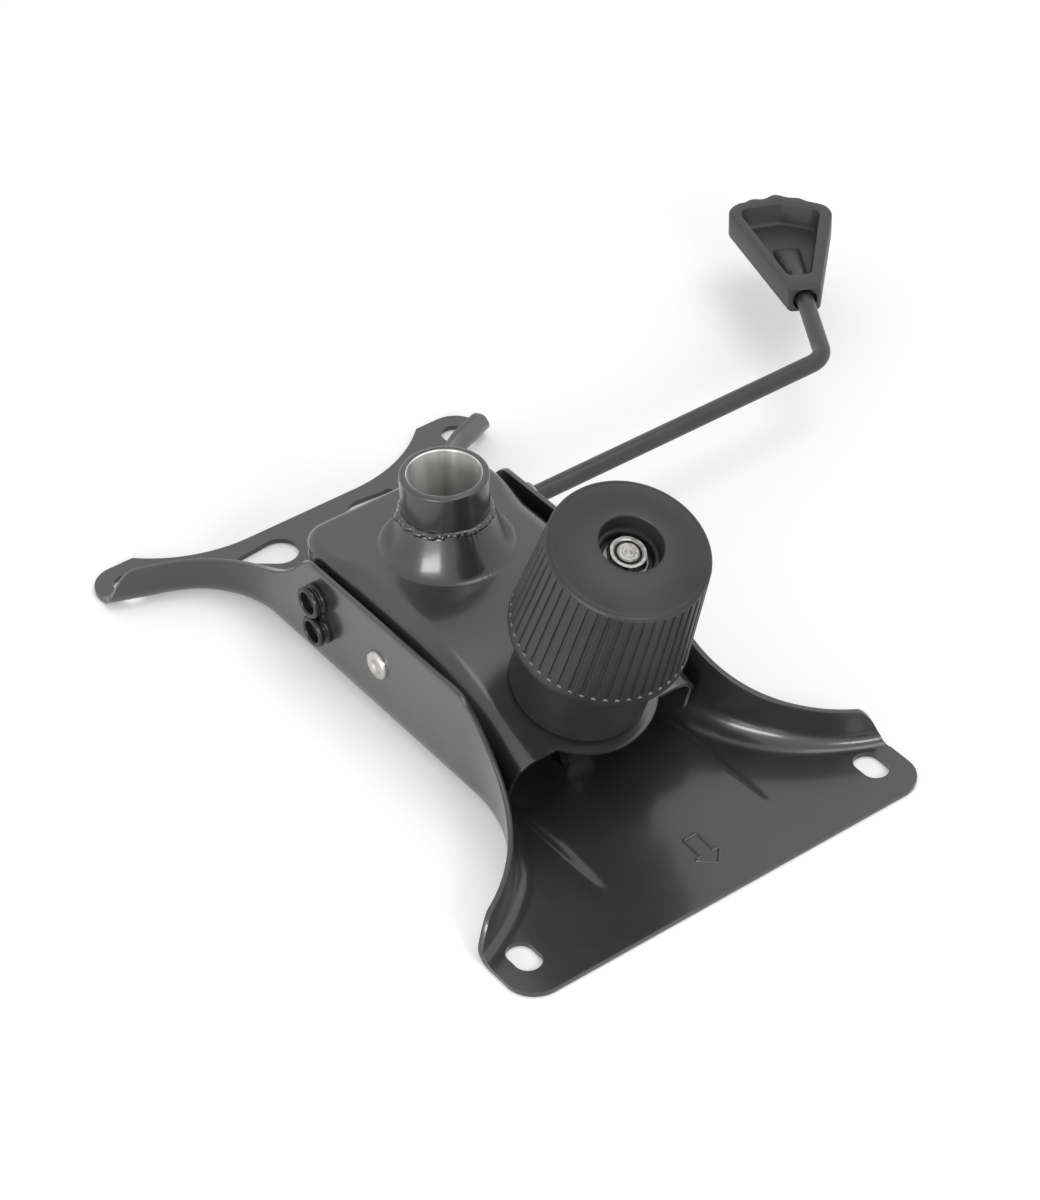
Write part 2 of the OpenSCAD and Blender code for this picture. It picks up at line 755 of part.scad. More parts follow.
// Fan outline of the paddle, inset d
module fan(d) {
    wide = paddle_w / 2 - 11;
    hull() {
        translate([8, 0]) circle(7 - d / 2, $fn = 32);
        for (s = [-1, 1]) translate([paddle_len - 20, s * wide]) circle(11 - d, $fn = 32);
        translate([paddle_len - 13, 0]) circle(13 - d, $fn = 32);
    }
}

// Paddle: a fan-shaped grip with an open cavity and a socket for the rod
module lever_paddle() {
    color([0.1, 0.1, 0.105]) on_leg() translate([leg_len, 0, -paddle_t / 2]) difference() {
        union() {
            linear_extrude(paddle_t) fan(0);
            translate([0, 0, paddle_t / 2]) rotate([0, 90, 0]) cylinder(r = rod_r + 2.6, h = 14);
        }
        translate([0, 0, paddle_t / 2 - 0.5]) linear_extrude(paddle_t) intersection() {
            fan(2.5);
            translate([leg_in + 8, -100]) square([200, 200]);
        }
        translate([-1, 0, paddle_t / 2]) rotate([0, 90, 0]) cylinder(r = rod_r, h = leg_in + 1);
    }
}

// Arm on the rod that presses the column's valve
module release_arm() {
    color([0.5, 0.5, 0.48]) difference() {
        union() {
            bar_y(rod_x, rod_z, rod_r + 2.2, -6, 6);
            translate([rod_x, -6, rod_z - 2]) cube([lift_x - rod_x + 5, 12, 4]);
        }
        bar_y(rod_x, rod_z, rod_r, -20, 20);
    }
}

// Clips that hold the rod endways, one inside the near wall, one outside the far bush
module lever_clips() {
    color([0.5, 0.5, 0.5]) {
        translate([rod_x, wall_y + bush_out + 0.1, rod_z]) rotate([-90, 0, 0]) ring(rod_r + 2.4, rod_r, 1.2);
        translate([rod_x, -wall_in + bush_lip + 0.1, rod_z]) rotate([-90, 0, 0]) ring(rod_r + 2, rod_r, 0.9);
    }
}

seat_plate();
near_bush();
far_bush();
pivot_pin();
anchor_lugs();
anchor_pin();
anchor_clips();
upright_stops();
recline_stops();
tilt_housing();
gas_lift_tube();
weld_bead();
pivot_bushes();
spring_sleeve();
spring_seat();
tension_spring();
tension_bolt();
thrust_washer();
tension_knob();
knob_nut();
lever_rod();
lever_paddle();
release_arm();
lever_clips();
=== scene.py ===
# %% [markdown]
# # Office chair tilt mechanism
# The mechanism lies with its seat side down, as in the photo. Every visible piece is a
# surface worked out with numpy: a function of two numbers on a grid, a profile turned
# about an axis, or a section carried along a path. Lengths are in millimetres in the
# part's frame (X to the chair's front, Y to the lever, Z to the column) and become
# metres only when a mesh is made.

import bmesh
import bpy
import numpy as np
from mathutils import Matrix


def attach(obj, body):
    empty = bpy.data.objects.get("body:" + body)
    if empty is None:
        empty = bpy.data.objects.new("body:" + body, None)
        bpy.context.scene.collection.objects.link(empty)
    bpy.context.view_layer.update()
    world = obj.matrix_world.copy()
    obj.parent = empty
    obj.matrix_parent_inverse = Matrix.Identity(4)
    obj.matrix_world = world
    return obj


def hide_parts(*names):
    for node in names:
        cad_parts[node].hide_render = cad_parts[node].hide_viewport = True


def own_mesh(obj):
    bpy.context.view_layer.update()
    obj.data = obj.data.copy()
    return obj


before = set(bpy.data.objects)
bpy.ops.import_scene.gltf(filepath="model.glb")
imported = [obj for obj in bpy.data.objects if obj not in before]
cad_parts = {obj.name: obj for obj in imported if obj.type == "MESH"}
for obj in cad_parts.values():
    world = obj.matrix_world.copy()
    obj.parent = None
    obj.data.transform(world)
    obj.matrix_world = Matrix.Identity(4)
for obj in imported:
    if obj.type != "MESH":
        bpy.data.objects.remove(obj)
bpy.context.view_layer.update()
scene = bpy.context.scene
MM = 0.001

# %% [markdown]
# ## Finishes
# The real parts are black enamel on pressed steel, moulded black plastic, bare machined
# steel in the column socket and zinc on the rivet, nut and bolt. A picture of each could
# be wrapped round the pieces, but a noise over the piece's own coordinates needs no file
# and never stretches: a coarse noise shifts colour and gloss, a fine one makes the grain.

# %% Setting and joining shader nodes
def dial(node, settings):
    """Sets the sockets of a shader node, each by its name."""
    for name, value in settings.items():
        node.inputs[name].default_value = value


def wire(tree, *pairs):
    """Joins an output to an input, pair by pair."""
    for source, target in pairs:
        tree.links.new(source, target)


print("node helpers ready")

# %% One procedural finish
COAT_ROUGH, DENT_DEPTH = 0.16, 0.0004


def finish(name, dark, light, rough, metal=0.0, patch=45.0, grain=900.0, bump=0.1, coat=0.0, shine=0.5):
    """Colour from dark to light and roughness over rough follow one noise; a fine noise dents the skin."""
    mat = bpy.data.materials.new(name)
    mat.use_nodes = True
    tree = mat.node_tree
    bsdf = tree.nodes["Principled BSDF"]
    dial(bsdf, {"Metallic": metal, "Specular IOR Level": shine})
    dial(bsdf, {"Coat Weight": coat, "Coat Roughness": COAT_ROUGH})
    where = tree.nodes.new("ShaderNodeTexCoord").outputs["Object"]
    coarse = tree.nodes.new("ShaderNodeTexNoise")
    dial(coarse, {"Scale": patch, "Detail": 2.0})
    fine = tree.nodes.new("ShaderNodeTexNoise")
    dial(fine, {"Scale": grain, "Detail": 3.0})
    ramp = tree.nodes.new("ShaderNodeValToRGB")
    for stop, spot, colour in zip(ramp.color_ramp.elements, (0.3, 0.7), (dark, light)):
        stop.position = spot
        stop.color = (*colour, 1)
    gloss = tree.nodes.new("ShaderNodeMapRange")
    dial(gloss, {"To Min": rough[0], "To Max": rough[1]})
    dent = tree.nodes.new("ShaderNodeBump")
    dial(dent, {"Strength": bump, "Distance": DENT_DEPTH})
    wire(tree, (where, coarse.inputs["Vector"]), (where, fine.inputs["Vector"]),
         (coarse.outputs["Fac"], ramp.inputs["Fac"]), (coarse.outputs["Fac"], gloss.inputs["Value"]),
         (fine.outputs["Fac"], dent.inputs["Height"]), (ramp.outputs["Color"], bsdf.inputs["Base Color"]),
         (gloss.outputs["Result"], bsdf.inputs["Roughness"]),
         (dent.outputs["Normal"], bsdf.inputs["Normal"]))
    return mat


print("finish maker ready")

# %% [markdown]
# Enamel has a clear coat over a rougher ground, and on the weld it is smoother but lumpy.
# The knob and sleeve get a darker copy of the paddle's black plastic, painted shade that darkens them all
# over, and the bushes are glossier than both.
# Each finish is one row of a table, so the pieces can be compared and changed in one place.

# %% The finishes of this mechanism
RECIPES = {
    "black_paint": dict(dark=(0.017, 0.017, 0.018), light=(0.024, 0.024, 0.025), rough=(0.32, 0.42),
                        patch=30.0, bump=0.08, coat=0.9),
    "weld_paint": dict(dark=(0.016, 0.016, 0.017), light=(0.024, 0.024, 0.025), rough=(0.14, 0.26),
                       grain=520.0, bump=0.8, coat=1.0),
    "black_plastic": dict(dark=(0.032, 0.032, 0.033), light=(0.044, 0.044, 0.045), rough=(0.40, 0.52),
                          grain=1400.0),
    # painted shade: a darker copy of the black plastic, for the knob and the sleeve
    "painted_shade_plastic": dict(dark=(0.014, 0.014, 0.015), light=(0.022, 0.022, 0.023), rough=(0.38, 0.50),
                         grain=1400.0),
    "gloss_plastic": dict(dark=(0.008, 0.008, 0.009), light=(0.013, 0.013, 0.014), rough=(0.20, 0.32),
                          grain=1400.0),
    # painted highlight: a far lighter plastic for the knob's groove ledges, for the light they catch
    "painted_ledge_highlight": dict(dark=(0.22, 0.22, 0.22), light=(0.32, 0.32, 0.32), rough=(0.40, 0.52),
                         grain=1400.0),
    "zinc": dict(dark=(0.46, 0.45, 0.43), light=(0.72, 0.71, 0.69), rough=(0.26, 0.46),
                 metal=1.0, patch=420.0),
    "rod_paint": dict(dark=(0.020, 0.020, 0.021), light=(0.030, 0.030, 0.031), rough=(0.36, 0.50),
                      patch=60.0, coat=0.25),
    # a darker, blotchier copy of the zinc, for the nut and the bolt end down in the knob's recess
    "darker_zinc": dict(dark=(0.22, 0.22, 0.21), light=(0.46, 0.45, 0.44), rough=(0.36, 0.55),
                      metal=1.0, patch=520.0),
    "steel": dict(dark=(0.20, 0.20, 0.20), light=(0.34, 0.34, 0.33), rough=(0.34, 0.52),
                  metal=0.9, patch=120.0),
    # painted shade: a near-black, matte steel that stands in for the deep shade under the tongue
    "painted_shade_steel": dict(dark=(0.006, 0.006, 0.006), light=(0.012, 0.012, 0.012), rough=(0.75, 0.90),
                       patch=120.0, shine=0.1),
    "nylon": dict(dark=(0.52, 0.50, 0.44), light=(0.62, 0.60, 0.54), rough=(0.42, 0.55)),
    "rubber": dict(dark=(0.018, 0.018, 0.018), light=(0.028, 0.028, 0.028), rough=(0.72, 0.86),
                   grain=1600.0, bump=0.25),
}
FINISH = {name: finish(name, **recipe) for name, recipe in RECIPES.items()}
print("finishes:", ", ".join(FINISH))

# %% [markdown]
# The bore of the column socket is drawn and then turned: its colour runs in long streaks
# and its dents in fine rings. The streaks and the bore's light tone are partly the steel's
# own and partly painted sheen, the bands of reflected light that run down the bore. A noise
# stretched along the axis and a wave across it give both; plain noise has no direction.

# %% Turned steel with streaks, partly painted sheen, and rings
def turned_steel(name):
    """Metal whose colour follows a noise stretched along Z, into streaks that are partly the tube's own and
    partly painted sheen, and whose dents follow a wave along Z.
    """
    # painted sheen: a light colour for the bore, partly standing in for reflected light
    mat = finish(name, (0.46, 0.46, 0.45), (0.84, 0.84, 0.82), (0.30, 0.42),
                 metal=0.5, patch=150.0, bump=0.05)
    tree = mat.node_tree
    where = tree.nodes["Texture Coordinate"].outputs["Object"]
    coarse, dent = tree.nodes["Noise Texture"], tree.nodes["Bump"]
    wave = tree.nodes.new("ShaderNodeTexWave")
    wave.bands_direction = "Z"
    dial(wave, {"Scale": 420.0, "Distortion": 3.0, "Detail": 2.0})
    drawn_streaks_and_sheen = tree.nodes.new("ShaderNodeMapping")
    dial(drawn_streaks_and_sheen, {"Scale": (1.0, 1.0, 0.12)})
    wire(tree, (where, wave.inputs["Vector"]), (where, drawn_streaks_and_sheen.inputs["Vector"]),
         (drawn_streaks_and_sheen.outputs["Vector"], coarse.inputs["Vector"]), (wave.outputs["Fac"], dent.inputs["Height"]))
    return mat


# painted sheen: the bore's light, streaked colour partly stands in for bands of reflected light
FINISH["socket_steel"] = turned_steel("socket_steel")
print("turned steel added")

# %% [markdown]
# ## Making a piece
# A mesh starts as arrays: points, and the corner numbers of its faces. It could be built
# point by point, but whole arrays are quicker and keep the formula in sight. Corners that
# fall together, at seams and poles, are joined, so the surface is closed.

# %% Mesh from arrays
JOIN = 2e-6


def quads(rows, cols, wrap=False):
    """Corner numbers of each cell in a grid of points; wrap joins the last column to the first."""
    grid = np.arange(rows * cols).reshape(rows, cols)
    if wrap:
        grid = np.concatenate([grid, grid[:, :1]], axis=1)
    return np.stack([grid[:-1, :-1], grid[:-1, 1:], grid[1:, 1:], grid[1:, :-1]], -1).reshape(-1, 4)


def mesh_object(name, shells, outward=True):
    """Object from shells of points, in millimetres, and faces; touching corners are joined."""
    first = np.cumsum([0] + [len(p) for p, f in shells])
    points = np.vstack([p for p, f in shells]) * MM
    faces = np.vstack([f + n for (p, f), n in zip(shells, first)])
    mesh = bpy.data.meshes.new(name)
    mesh.from_pydata(points.tolist(), [], faces.tolist())
    bm = bmesh.new()
    bm.from_mesh(mesh)
    bmesh.ops.remove_doubles(bm, verts=bm.verts, dist=JOIN)
    if outward:
        bmesh.ops.recalc_face_normals(bm, faces=bm.faces)
    bm.to_mesh(mesh)
    bm.free()
    obj = bpy.data.objects.new(name, mesh)
    bpy.context.collection.objects.link(obj)
    return obj


print("mesh maker ready")

# %% [markdown]
# Each piece then gets its shading, finish and body. Smooth shading alone would smear
# across corners, and flat shading would show every cell of the grid, so edges steeper
# than a set angle stay crisp and the rest is smooth.


def dress(obj, body, kind, *nodes, sharp=38):
    """Shades the piece, gives it its finish and its body, and hides the CAD nodes it stands for."""
    mesh = obj.data
    mesh.polygons.foreach_set("use_smooth", np.ones(len(mesh.polygons), bool))
    mesh.set_sharp_from_angle(angle=np.radians(sharp))
    mesh.materials.clear()
    mesh.materials.append(FINISH[kind])
    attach(obj, body)
    if nodes:
        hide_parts(*nodes)
    print(obj.name, "on", body + ":", len(mesh.vertices), "points,", len(mesh.polygons), "faces")


def of_faces(obj, what):
    """The center or the normal of every face, as one array of three columns."""
    values = np.empty(3 * len(obj.data.polygons))
    obj.data.polygons.foreach_get(what, values)
    return values.reshape(-1, 3)


def second_finish(obj, kind, chosen):
    """Gives the chosen faces of a piece another finish."""
    obj.data.materials.append(FINISH[kind])
    obj.data.polygons.foreach_set("material_index", chosen.astype(np.int32))
    print(kind, "on", int(chosen.sum()), "faces of", obj.name)


print("dressing ready")

# %% [markdown]
# ## Seat plate
# One pressing bolts to the seat. Two walls stand up along the middle, sweep outwards as
# low flanges along the arms, and end at ears with slots. It could be built from boxes
# and fillets, but then the flange would not flow. Here one half is a single grid: every
# column is a ray that starts on the flange's line, comes down the wall, round the bend
# and across the floor until it meets the middle or the plate's edge.

# %% Sizes of the seat plate, seen from above
WALL_Y, HALF = 47.2, 92.5  # outer face of the straight wall, half the plate's width
FRONT_C, FRONT_R = np.array([54.0, 117.2]), 70.0  # centre and radius of the front sweep
REAR_C, REAR_R = np.array([-77.0, 87.7]), 40.5  # centre and radius of the rear sweep
TURN = np.radians(68)  # angle that the rear sweep goes through
FRONT_EDGE, REAR_EDGE, REAR_MID = 148.7, -144.4, -126.5  # front, rear at the ears, rear in the middle
EAR_R = 12.0
FRONT_EAR = np.array([FRONT_EDGE - EAR_R, HALF - EAR_R])
REAR_EAR = np.array([REAR_EDGE + EAR_R, HALF - EAR_R])
FLAT, HOLLOW_END, HOLLOW_R = 26.0, 69.5, 61.81  # hollow of the rear edge: start, end and radius
print("plate", round(FRONT_EDGE - REAR_EDGE, 1), "by", 2 * HALF, "mm")

# %% Line of the flange
def bearing(spots, centre):
    """Angle at a sweep's centre between straight inwards and each spot."""
    off = np.abs(np.asarray(spots, float) - centre)
    return np.arctan2(off[..., 0], off[..., 1])


def ray_steps(tip, last, marks, count):
    """Even steps from 0 to the tip, finer near it and on to the last, with the marks among them."""
    s = np.linspace(0, 1, 24)
    fine = [tip * (1 - 0.12 * s**2), last - (last - tip) * (1 - s) ** 2]
    return np.unique(np.round(np.concatenate([np.linspace(0, tip, count), *fine, marks]), 7))


def flange_line():
    """Points and inward directions from front ear to rear ear: circle, straight, circle, straight."""
    last = bearing(FRONT_EAR, FRONT_C) + np.arcsin(EAR_R / np.linalg.norm(FRONT_EAR - FRONT_C))
    marks = bearing([(FRONT_EDGE, 0), (FRONT_EDGE, FRONT_EAR[1])], FRONT_C)
    a = ray_steps(np.arccos((FRONT_C[1] - HALF) / FRONT_R), last, marks, 78)[::-1]
    way_f = np.stack([np.sin(a), -np.cos(a)], -1)
    x = np.linspace(FRONT_C[0], REAR_C[0], 42)[1:-1]
    b = np.unique(np.append(np.linspace(0, TURN, 48), bearing([(REAR_MID, 0), (REAR_MID, FLAT)], REAR_C)))
    way_r = np.stack([-np.sin(b), -np.cos(b)], -1)
    end, run = REAR_C + REAR_R * way_r[-1], np.array([-np.cos(TURN), np.sin(TURN)])
    marks = (np.array([(REAR_EDGE, HOLLOW_END), (REAR_EDGE, REAR_EAR[1])]) - end) @ run
    t = ray_steps((HALF - end[1]) / run[1], (REAR_EAR - end) @ run + EAR_R, marks, 18)[1:]
    points = np.vstack([FRONT_C + FRONT_R * way_f, np.stack([x, 0 * x + WALL_Y], -1),
                        REAR_C + REAR_R * way_r, end + t[:, None] * run])
    ways = np.vstack([way_f, np.tile([0.0, -1.0], (len(x), 1)), way_r, np.tile(way_r[-1], (len(t), 1))])
    return points, ways


line, inward = flange_line()
print("flange line:", len(line), "rays")

# %% [markdown]
# The plate's edge is known only as a rule for what lies inside it: straight front and
# sides, round ears and a hollow rear edge. Each ray finds the edge by halving its range,
# all rays at once.

# %% Where each ray enters and leaves the plate
def inside(p):
    """True where a point of the half plate lies within its edge."""
    x, y = p[..., 0], p[..., 1]
    dip = np.sqrt(np.maximum(HOLLOW_R**2 - np.clip(y - FLAT, 0, HOLLOW_END - FLAT) ** 2, 0)) - HOLLOW_R
    rear = np.where(y < HOLLOW_END, REAR_MID + dip, REAR_EDGE)
    ok = (y >= 0) & (y <= HALF) & (x <= FRONT_EDGE) & (x >= rear)
    past_f = (x > FRONT_EAR[0]) & (y > FRONT_EAR[1]) & (np.linalg.norm(p - FRONT_EAR, axis=-1) > EAR_R)
    past_r = (x < REAR_EAR[0]) & (y > REAR_EAR[1]) & (np.linalg.norm(p - REAR_EAR, axis=-1) > EAR_R)
    return ok & ~past_f & ~past_r


def edge_between(good, bad):
    """Distance along each ray where the plate ends, between a distance inside it and one outside."""
    good, bad = good.copy(), bad.copy()
    for _ in range(40):
        middle = (good + bad) / 2
        hit = inside(line + middle[:, None] * inward)
        good, bad = np.where(hit, middle, good), np.where(hit, bad, middle)
    return good


WITHIN, PAST = 12.0, 330.0  # distances along a ray that lie inside the plate and beyond it
ear = np.where(line[:, :1] > 0, FRONT_EAR, REAR_EAR)
beyond = line[:, 1] > HALF + 1e-4
known = np.where(beyond, ((ear - line) * inward).sum(1), WITHIN)
leave = edge_between(known, np.full(len(line), PAST))
enter = np.where(beyond, edge_between(known, np.zeros(len(line))), 0.0)
print("floor rays run", round(float(leave.min()), 1), "to", round(float(leave.max()), 1), "mm")

# %% [markdown]
# The wall is tall beside the housing and runs down towards the ears. A straight taper
# would look cut; a press leaves a curve that eases out, so the height falls as an
# exponential. The apron in front has a shallow raised panel, which a smooth step shapes.

# %% Height of the flange and relief of the floor
WALL_TOP, FRONT_LOW, REAR_LOW = 49.0, 12.0, 15.5
PANEL_UP, PANEL_HALF = 1.8, 39


def smooth(t):
    """Smooth step: 0 below 0, 1 above 1, three t squared less two t cubed between."""
    t = np.clip(t, 0, 1)
    return t * t * (3 - 2 * t)


def flange_height(x):
    """Full wall height in the middle, falling as an exponential to the low heights at the ears."""
    front = FRONT_LOW + (WALL_TOP - FRONT_LOW) * np.exp(-2 * np.logaddexp(0, (x - 51.5) / 2) / 33.5)
    rear = REAR_LOW + (WALL_TOP - REAR_LOW) * np.exp(np.minimum(x + 50, 0) / 26)
    return np.where(x > 0, front, rear)


def floor_relief(x, y):
    """The apron's panel: sloping over 4 mm at its sides, running out to the rear and fading in front."""
    sides = smooth((PANEL_HALF - np.abs(y)) / 4)
    return PANEL_UP * sides * smooth((x - 58) / 20) * (1 - smooth((x - 100) / 40))


print("wall", WALL_TOP, "mm, panel", PANEL_UP, "mm")

# %% [markdown]
# At its tips the flange rounds off to almost nothing, and its bend is tighter on the
# arms than along the middle. Both are worked out per ray, from the distance to the tip
# and from the angle round the sweep.

# %% Height and bend radius of each ray
BEND = 10.5
reach = np.concatenate([[0], np.cumsum(np.linalg.norm(np.diff(line, axis=0), axis=1))])
front_tip, rear_tip = reach[~beyond][[0, -1]]
in_front = line[:, 0] > 0
to_tip = np.clip(np.minimum(reach - front_tip, rear_tip - reach) / np.where(in_front, 9, 12), 0, 1)
sweep_angle = np.degrees(np.arctan2(line[:, 0] - FRONT_C[0], FRONT_C[1] - line[:, 1]))
front_less = 4.0 * smooth((sweep_angle - 25) / 40) * (line[:, 0] > FRONT_C[0])
rear_less = 2.0 * smooth((-104 - line[:, 0]) / 16)
bend = BEND - front_less - rear_less
end_height = np.where(in_front, 4.0, 5.0)
fullness = 1 - (1 - to_tip) ** np.where(in_front, 2.0, 2.4)
height = end_height + (flange_height(line[:, 0]) - end_height) * fullness
print("flange from", round(float(height.max()), 1), "mm down to the ears")

# %% [markdown]
# The grid is the outer skin of the plate. A second skin could be worked out beside it,
# but Solidify gives the sheet an even thickness and Bevel rounds its cut edges, as a
# press and a deburring drum do. Slots and lightening holes are then punched through.

# %% Sheet thickness
def keep(obj):
    """Replaces the object's mesh by what its modifiers make of it."""
    graph = bpy.context.evaluated_depsgraph_get()
    mesh = bpy.data.meshes.new_from_object(obj.evaluated_get(graph))
    obj.modifiers.clear()
    obj.data = mesh


def thicken(obj, thickness, edge):
    """Gives an open sheet its thickness behind its faces and rounds the cut edges."""
    solid = obj.modifiers.new("thickness", "SOLIDIFY")
    solid.thickness, solid.offset, solid.use_even_offset = thickness * MM, -1, True
    bevel = obj.modifiers.new("edge", "BEVEL")
    bevel.width, bevel.segments, bevel.limit_method = edge * MM, 2, "ANGLE"
    bevel.angle_limit = np.radians(50)
    keep(obj)


def mirrored(half):
    """The two shells of a sheet: the half grid, and its twin across Y with its faces turned round."""
    cells = quads(*half.shape[:2])
    twin = half * [1, -1, 1]
    return [(half.reshape(-1, 3), cells), (twin.reshape(-1, 3), cells[:, ::-1])]


SHEET, EDGE = 2.0, 0.6
print("sheet", SHEET, "mm with edges rounded by", EDGE, "mm")

# %% Grid of the half plate, mirrored and thickened
def plate_half():
    """Rows from the flange's upper edge down the wall, round the bend and over the floor."""
    arc = bend * np.pi / 2
    whole = np.where(height > bend, arc + height - bend, bend * np.arccos(1 - np.minimum(height / bend, 1)))
    cut_off = np.where(beyond, bend * np.arcsin(np.clip(1 - enter / bend, 0, 1)), 999.0)
    run = np.linspace(1, 0, 24)[:-1, None] * np.minimum(whole, cut_off)
    turn = np.minimum(run / bend, np.pi / 2)
    out = np.maximum(bend - bend * np.sin(turn), enter)
    up = bend - bend * np.cos(turn) + np.maximum(run - arc, 0)
    begin = np.maximum(bend, enter)
    flat = begin + (leave - begin) * np.linspace(0, 1, 58)[:, None]
    xy = line + np.concatenate([out, flat])[..., None] * inward
    z = np.concatenate([up, 0 * flat]) + floor_relief(xy[..., 0], xy[..., 1])
    return np.concatenate([xy, z[..., None]], -1)


plate = mesh_object("seat_plate_sheet", mirrored(plate_half()), outward=False)
spot, way = of_faces(plate, "center"), of_faces(plate, "normal")
middle = (np.abs(spot[:, 0]) < 0.04) & (np.abs(spot[:, 1]) < 0.02)
if way[middle, 2].mean() > 0:
    plate.data.flip_normals()
thicken(plate, SHEET, EDGE)
print("plate pressed:", len(plate.data.polygons), "faces")

# %% [markdown]
# The seat's screws go through four slots, and two drop-shaped holes lighten the rear. On
# the real plate a punch goes straight through, so a tool with the hole's outline is taken
# out of the sheet, which also cuts cleanly through the curved flange beside a slot.

# %% Slots and lightening holes
def round_hull(circles, count=64):
    """Outline round circles (x, y, r): in each direction the one that reaches furthest gives the point."""
    c = np.asarray(circles, float)
    a = np.linspace(0, 2 * np.pi, count, endpoint=False)
    way = np.stack([np.cos(a), np.sin(a)], -1)
    best = np.argmax(way @ c[:, :2].T + c[:, 2], axis=1)
    return c[best, :2] + c[best, 2:] * way


def carve(obj, tool):
    """Takes the tool's volume out of the object and removes the tool."""
    cut = obj.modifiers.new("hole", "BOOLEAN")
    cut.object, cut.operation, cut.solver = tool, "DIFFERENCE", "EXACT"
    keep(obj)
    bpy.data.objects.remove(tool)


def punch(obj, outlines, low, high):
    """Cuts closed outlines out of the object, straight through from low to high."""
    for i, outline in enumerate(outlines):
        n = len(outline)
        flat = np.column_stack([outline, np.full(n, low)])
        top = np.column_stack([outline, np.full(n, high)])
        core = np.vstack([outline.mean(0).tolist() + [low], outline.mean(0).tolist() + [high]])
        rows = np.concatenate([np.repeat(core[:1], n, 0), flat, top, np.repeat(core[1:], n, 0)])
        carve(obj, mesh_object("punch_%d" % i, [(rows, quads(4, n, wrap=True))]))


SLOT_X, SLOT_Y, SLOT_R, SLOT_RUN = 130, 80, 5.25, 2.25
slots = [round_hull([(x - SLOT_RUN, y, SLOT_R), (x + SLOT_RUN, y, SLOT_R)])
         for x in (-SLOT_X, SLOT_X) for y in (-SLOT_Y, SLOT_Y)]
drops = [round_hull([(-111.5, s * 21, 8.0), (-116.0, s * 36, 2.0)]) for s in (-1, 1)]
punch(plate, slots + drops, -6, 9)
dress(plate, "seat", "black_paint", "seat_plate", sharp=32)

# %% [markdown]
# ## Stamped arrow
# The apron carries a plain pressed mark that shows which way is forward. A shallow ridge
# along an arrow's outline stands for it; the press leaves a rounded line, so a thin round
# section half sunk in the sheet is closer than a ridge with square sides.

# %% Round section along a path
def rounded(corners, radius, count=5):
    """Closed outline whose corners are cut back by radius and bridged by a parabola."""
    c = np.asarray(corners, float)
    back, on = np.roll(c, 1, 0) - c, np.roll(c, -1, 0) - c
    long_b = np.linalg.norm(back, axis=1, keepdims=True)
    long_o = np.linalg.norm(on, axis=1, keepdims=True)
    r = np.broadcast_to(np.reshape(radius, (-1, 1)), (len(c), 1))
    start = c + back / long_b * np.minimum(r, 0.45 * long_b)
    end = c + on / long_o * np.minimum(r, 0.45 * long_o)
    t = np.linspace(0, 1, count)[:, None, None]
    curve = (1 - t) ** 2 * start + 2 * t * (1 - t) * c + t**2 * end
    return curve.transpose(1, 0, 2).reshape(-1, 2)


def sweep(path, radius, up, around=24, loop=False):
    """Circle of the given radius carried square along a path; a point closes each end of an open path."""
    path = np.asarray(path, float)
    along = np.roll(path, -1, 0) - np.roll(path, 1, 0) if loop else np.gradient(path, axis=0)
    along = along / np.linalg.norm(along, axis=1, keepdims=True)
    side = np.cross(along, up)
    side = side / np.linalg.norm(side, axis=1, keepdims=True)
    lift = np.cross(side, along)
    a = np.linspace(0, 2 * np.pi, around, endpoint=False)[None, :, None]
    r = np.broadcast_to(np.reshape(radius, (-1, 1, 1)), (len(path), 1, 1))
    rings = path[:, None] + r * (np.cos(a) * side[:, None] + np.sin(a) * lift[:, None])
    ends = np.broadcast_to(path[[0, -1], None], (2, around, 3))
    points = np.concatenate([rings, rings[:1]] if loop else [ends[:1], rings, ends[1:]])
    return points.reshape(-1, 3), quads(len(points), around, wrap=True)


print("path maker ready")

# %% Arrow outline
arrow = rounded([(119.5, 2.6), (119.5, 5.6), (129.5, 5.6), (129.5, 8.2), (135.5, 2.6), (129.5, -3.0),
                 (129.5, -0.4), (119.5, -0.4)], 0.8)
arrow_z = 1.75 + floor_relief(arrow[:, 0], arrow[:, 1])
press = 0.85 - 0.3 * smooth((arrow[:, 0] - 130) / 4)
ridge = sweep(np.column_stack([arrow, arrow_z]), press, [0, 0, 1], 10, loop=True)
mark = mesh_object("stamped_arrow", [ridge])
dress(mark, "seat", "black_paint")

# %% [markdown]
# ## Tilt housing
# A drawn cup of steel carries the column. It could be a box with fillets, a cone and a
# wedge joined together, but a press gives one flowing skin. Its half is one grid again:
# up the side from the lower edge, over the fold, then in towards the socket or, ahead of
# it, to the middle line. The height of the top is a sum of terms: level, soft crease and
# slope, and the boss, which flares out like a trumpet towards its foot.

# %% Height of the housing
LEAN, CREASE, TOP = np.radians(20.5), 18.0, 51.0  # slope, where it starts, height of the level top
SLOPE_RUN, TONGUE_R, LIP_RUN = 42.3, 30, 61.8  # down the slope: knob's axis, tongue round it, lip
LIFT_X, HOLE_R = -23.3, 16.6  # socket's axis, hole in the sheet for it
K = np.array([np.sin(LEAN), 0.0, np.cos(LEAN)])
FOOT = np.array([CREASE + SLOPE_RUN * np.cos(LEAN), 0.0, TOP - SLOPE_RUN * np.sin(LEAN)])
LIP_X = CREASE + LIP_RUN * np.cos(LEAN)


def house_top(x, y):
    """Level top, then the slope, with a soft crease between them, plus the boss round the socket."""
    soft = 6.0 * np.logaddexp(0, (x - CREASE) / 6.0)
    r = np.hypot(x - LIFT_X, y)
    boss = 16.0 * np.clip((26.4 - r) / 8.2, 0, 1) ** 1.47
    return TOP - np.tan(LEAN) * soft + boss


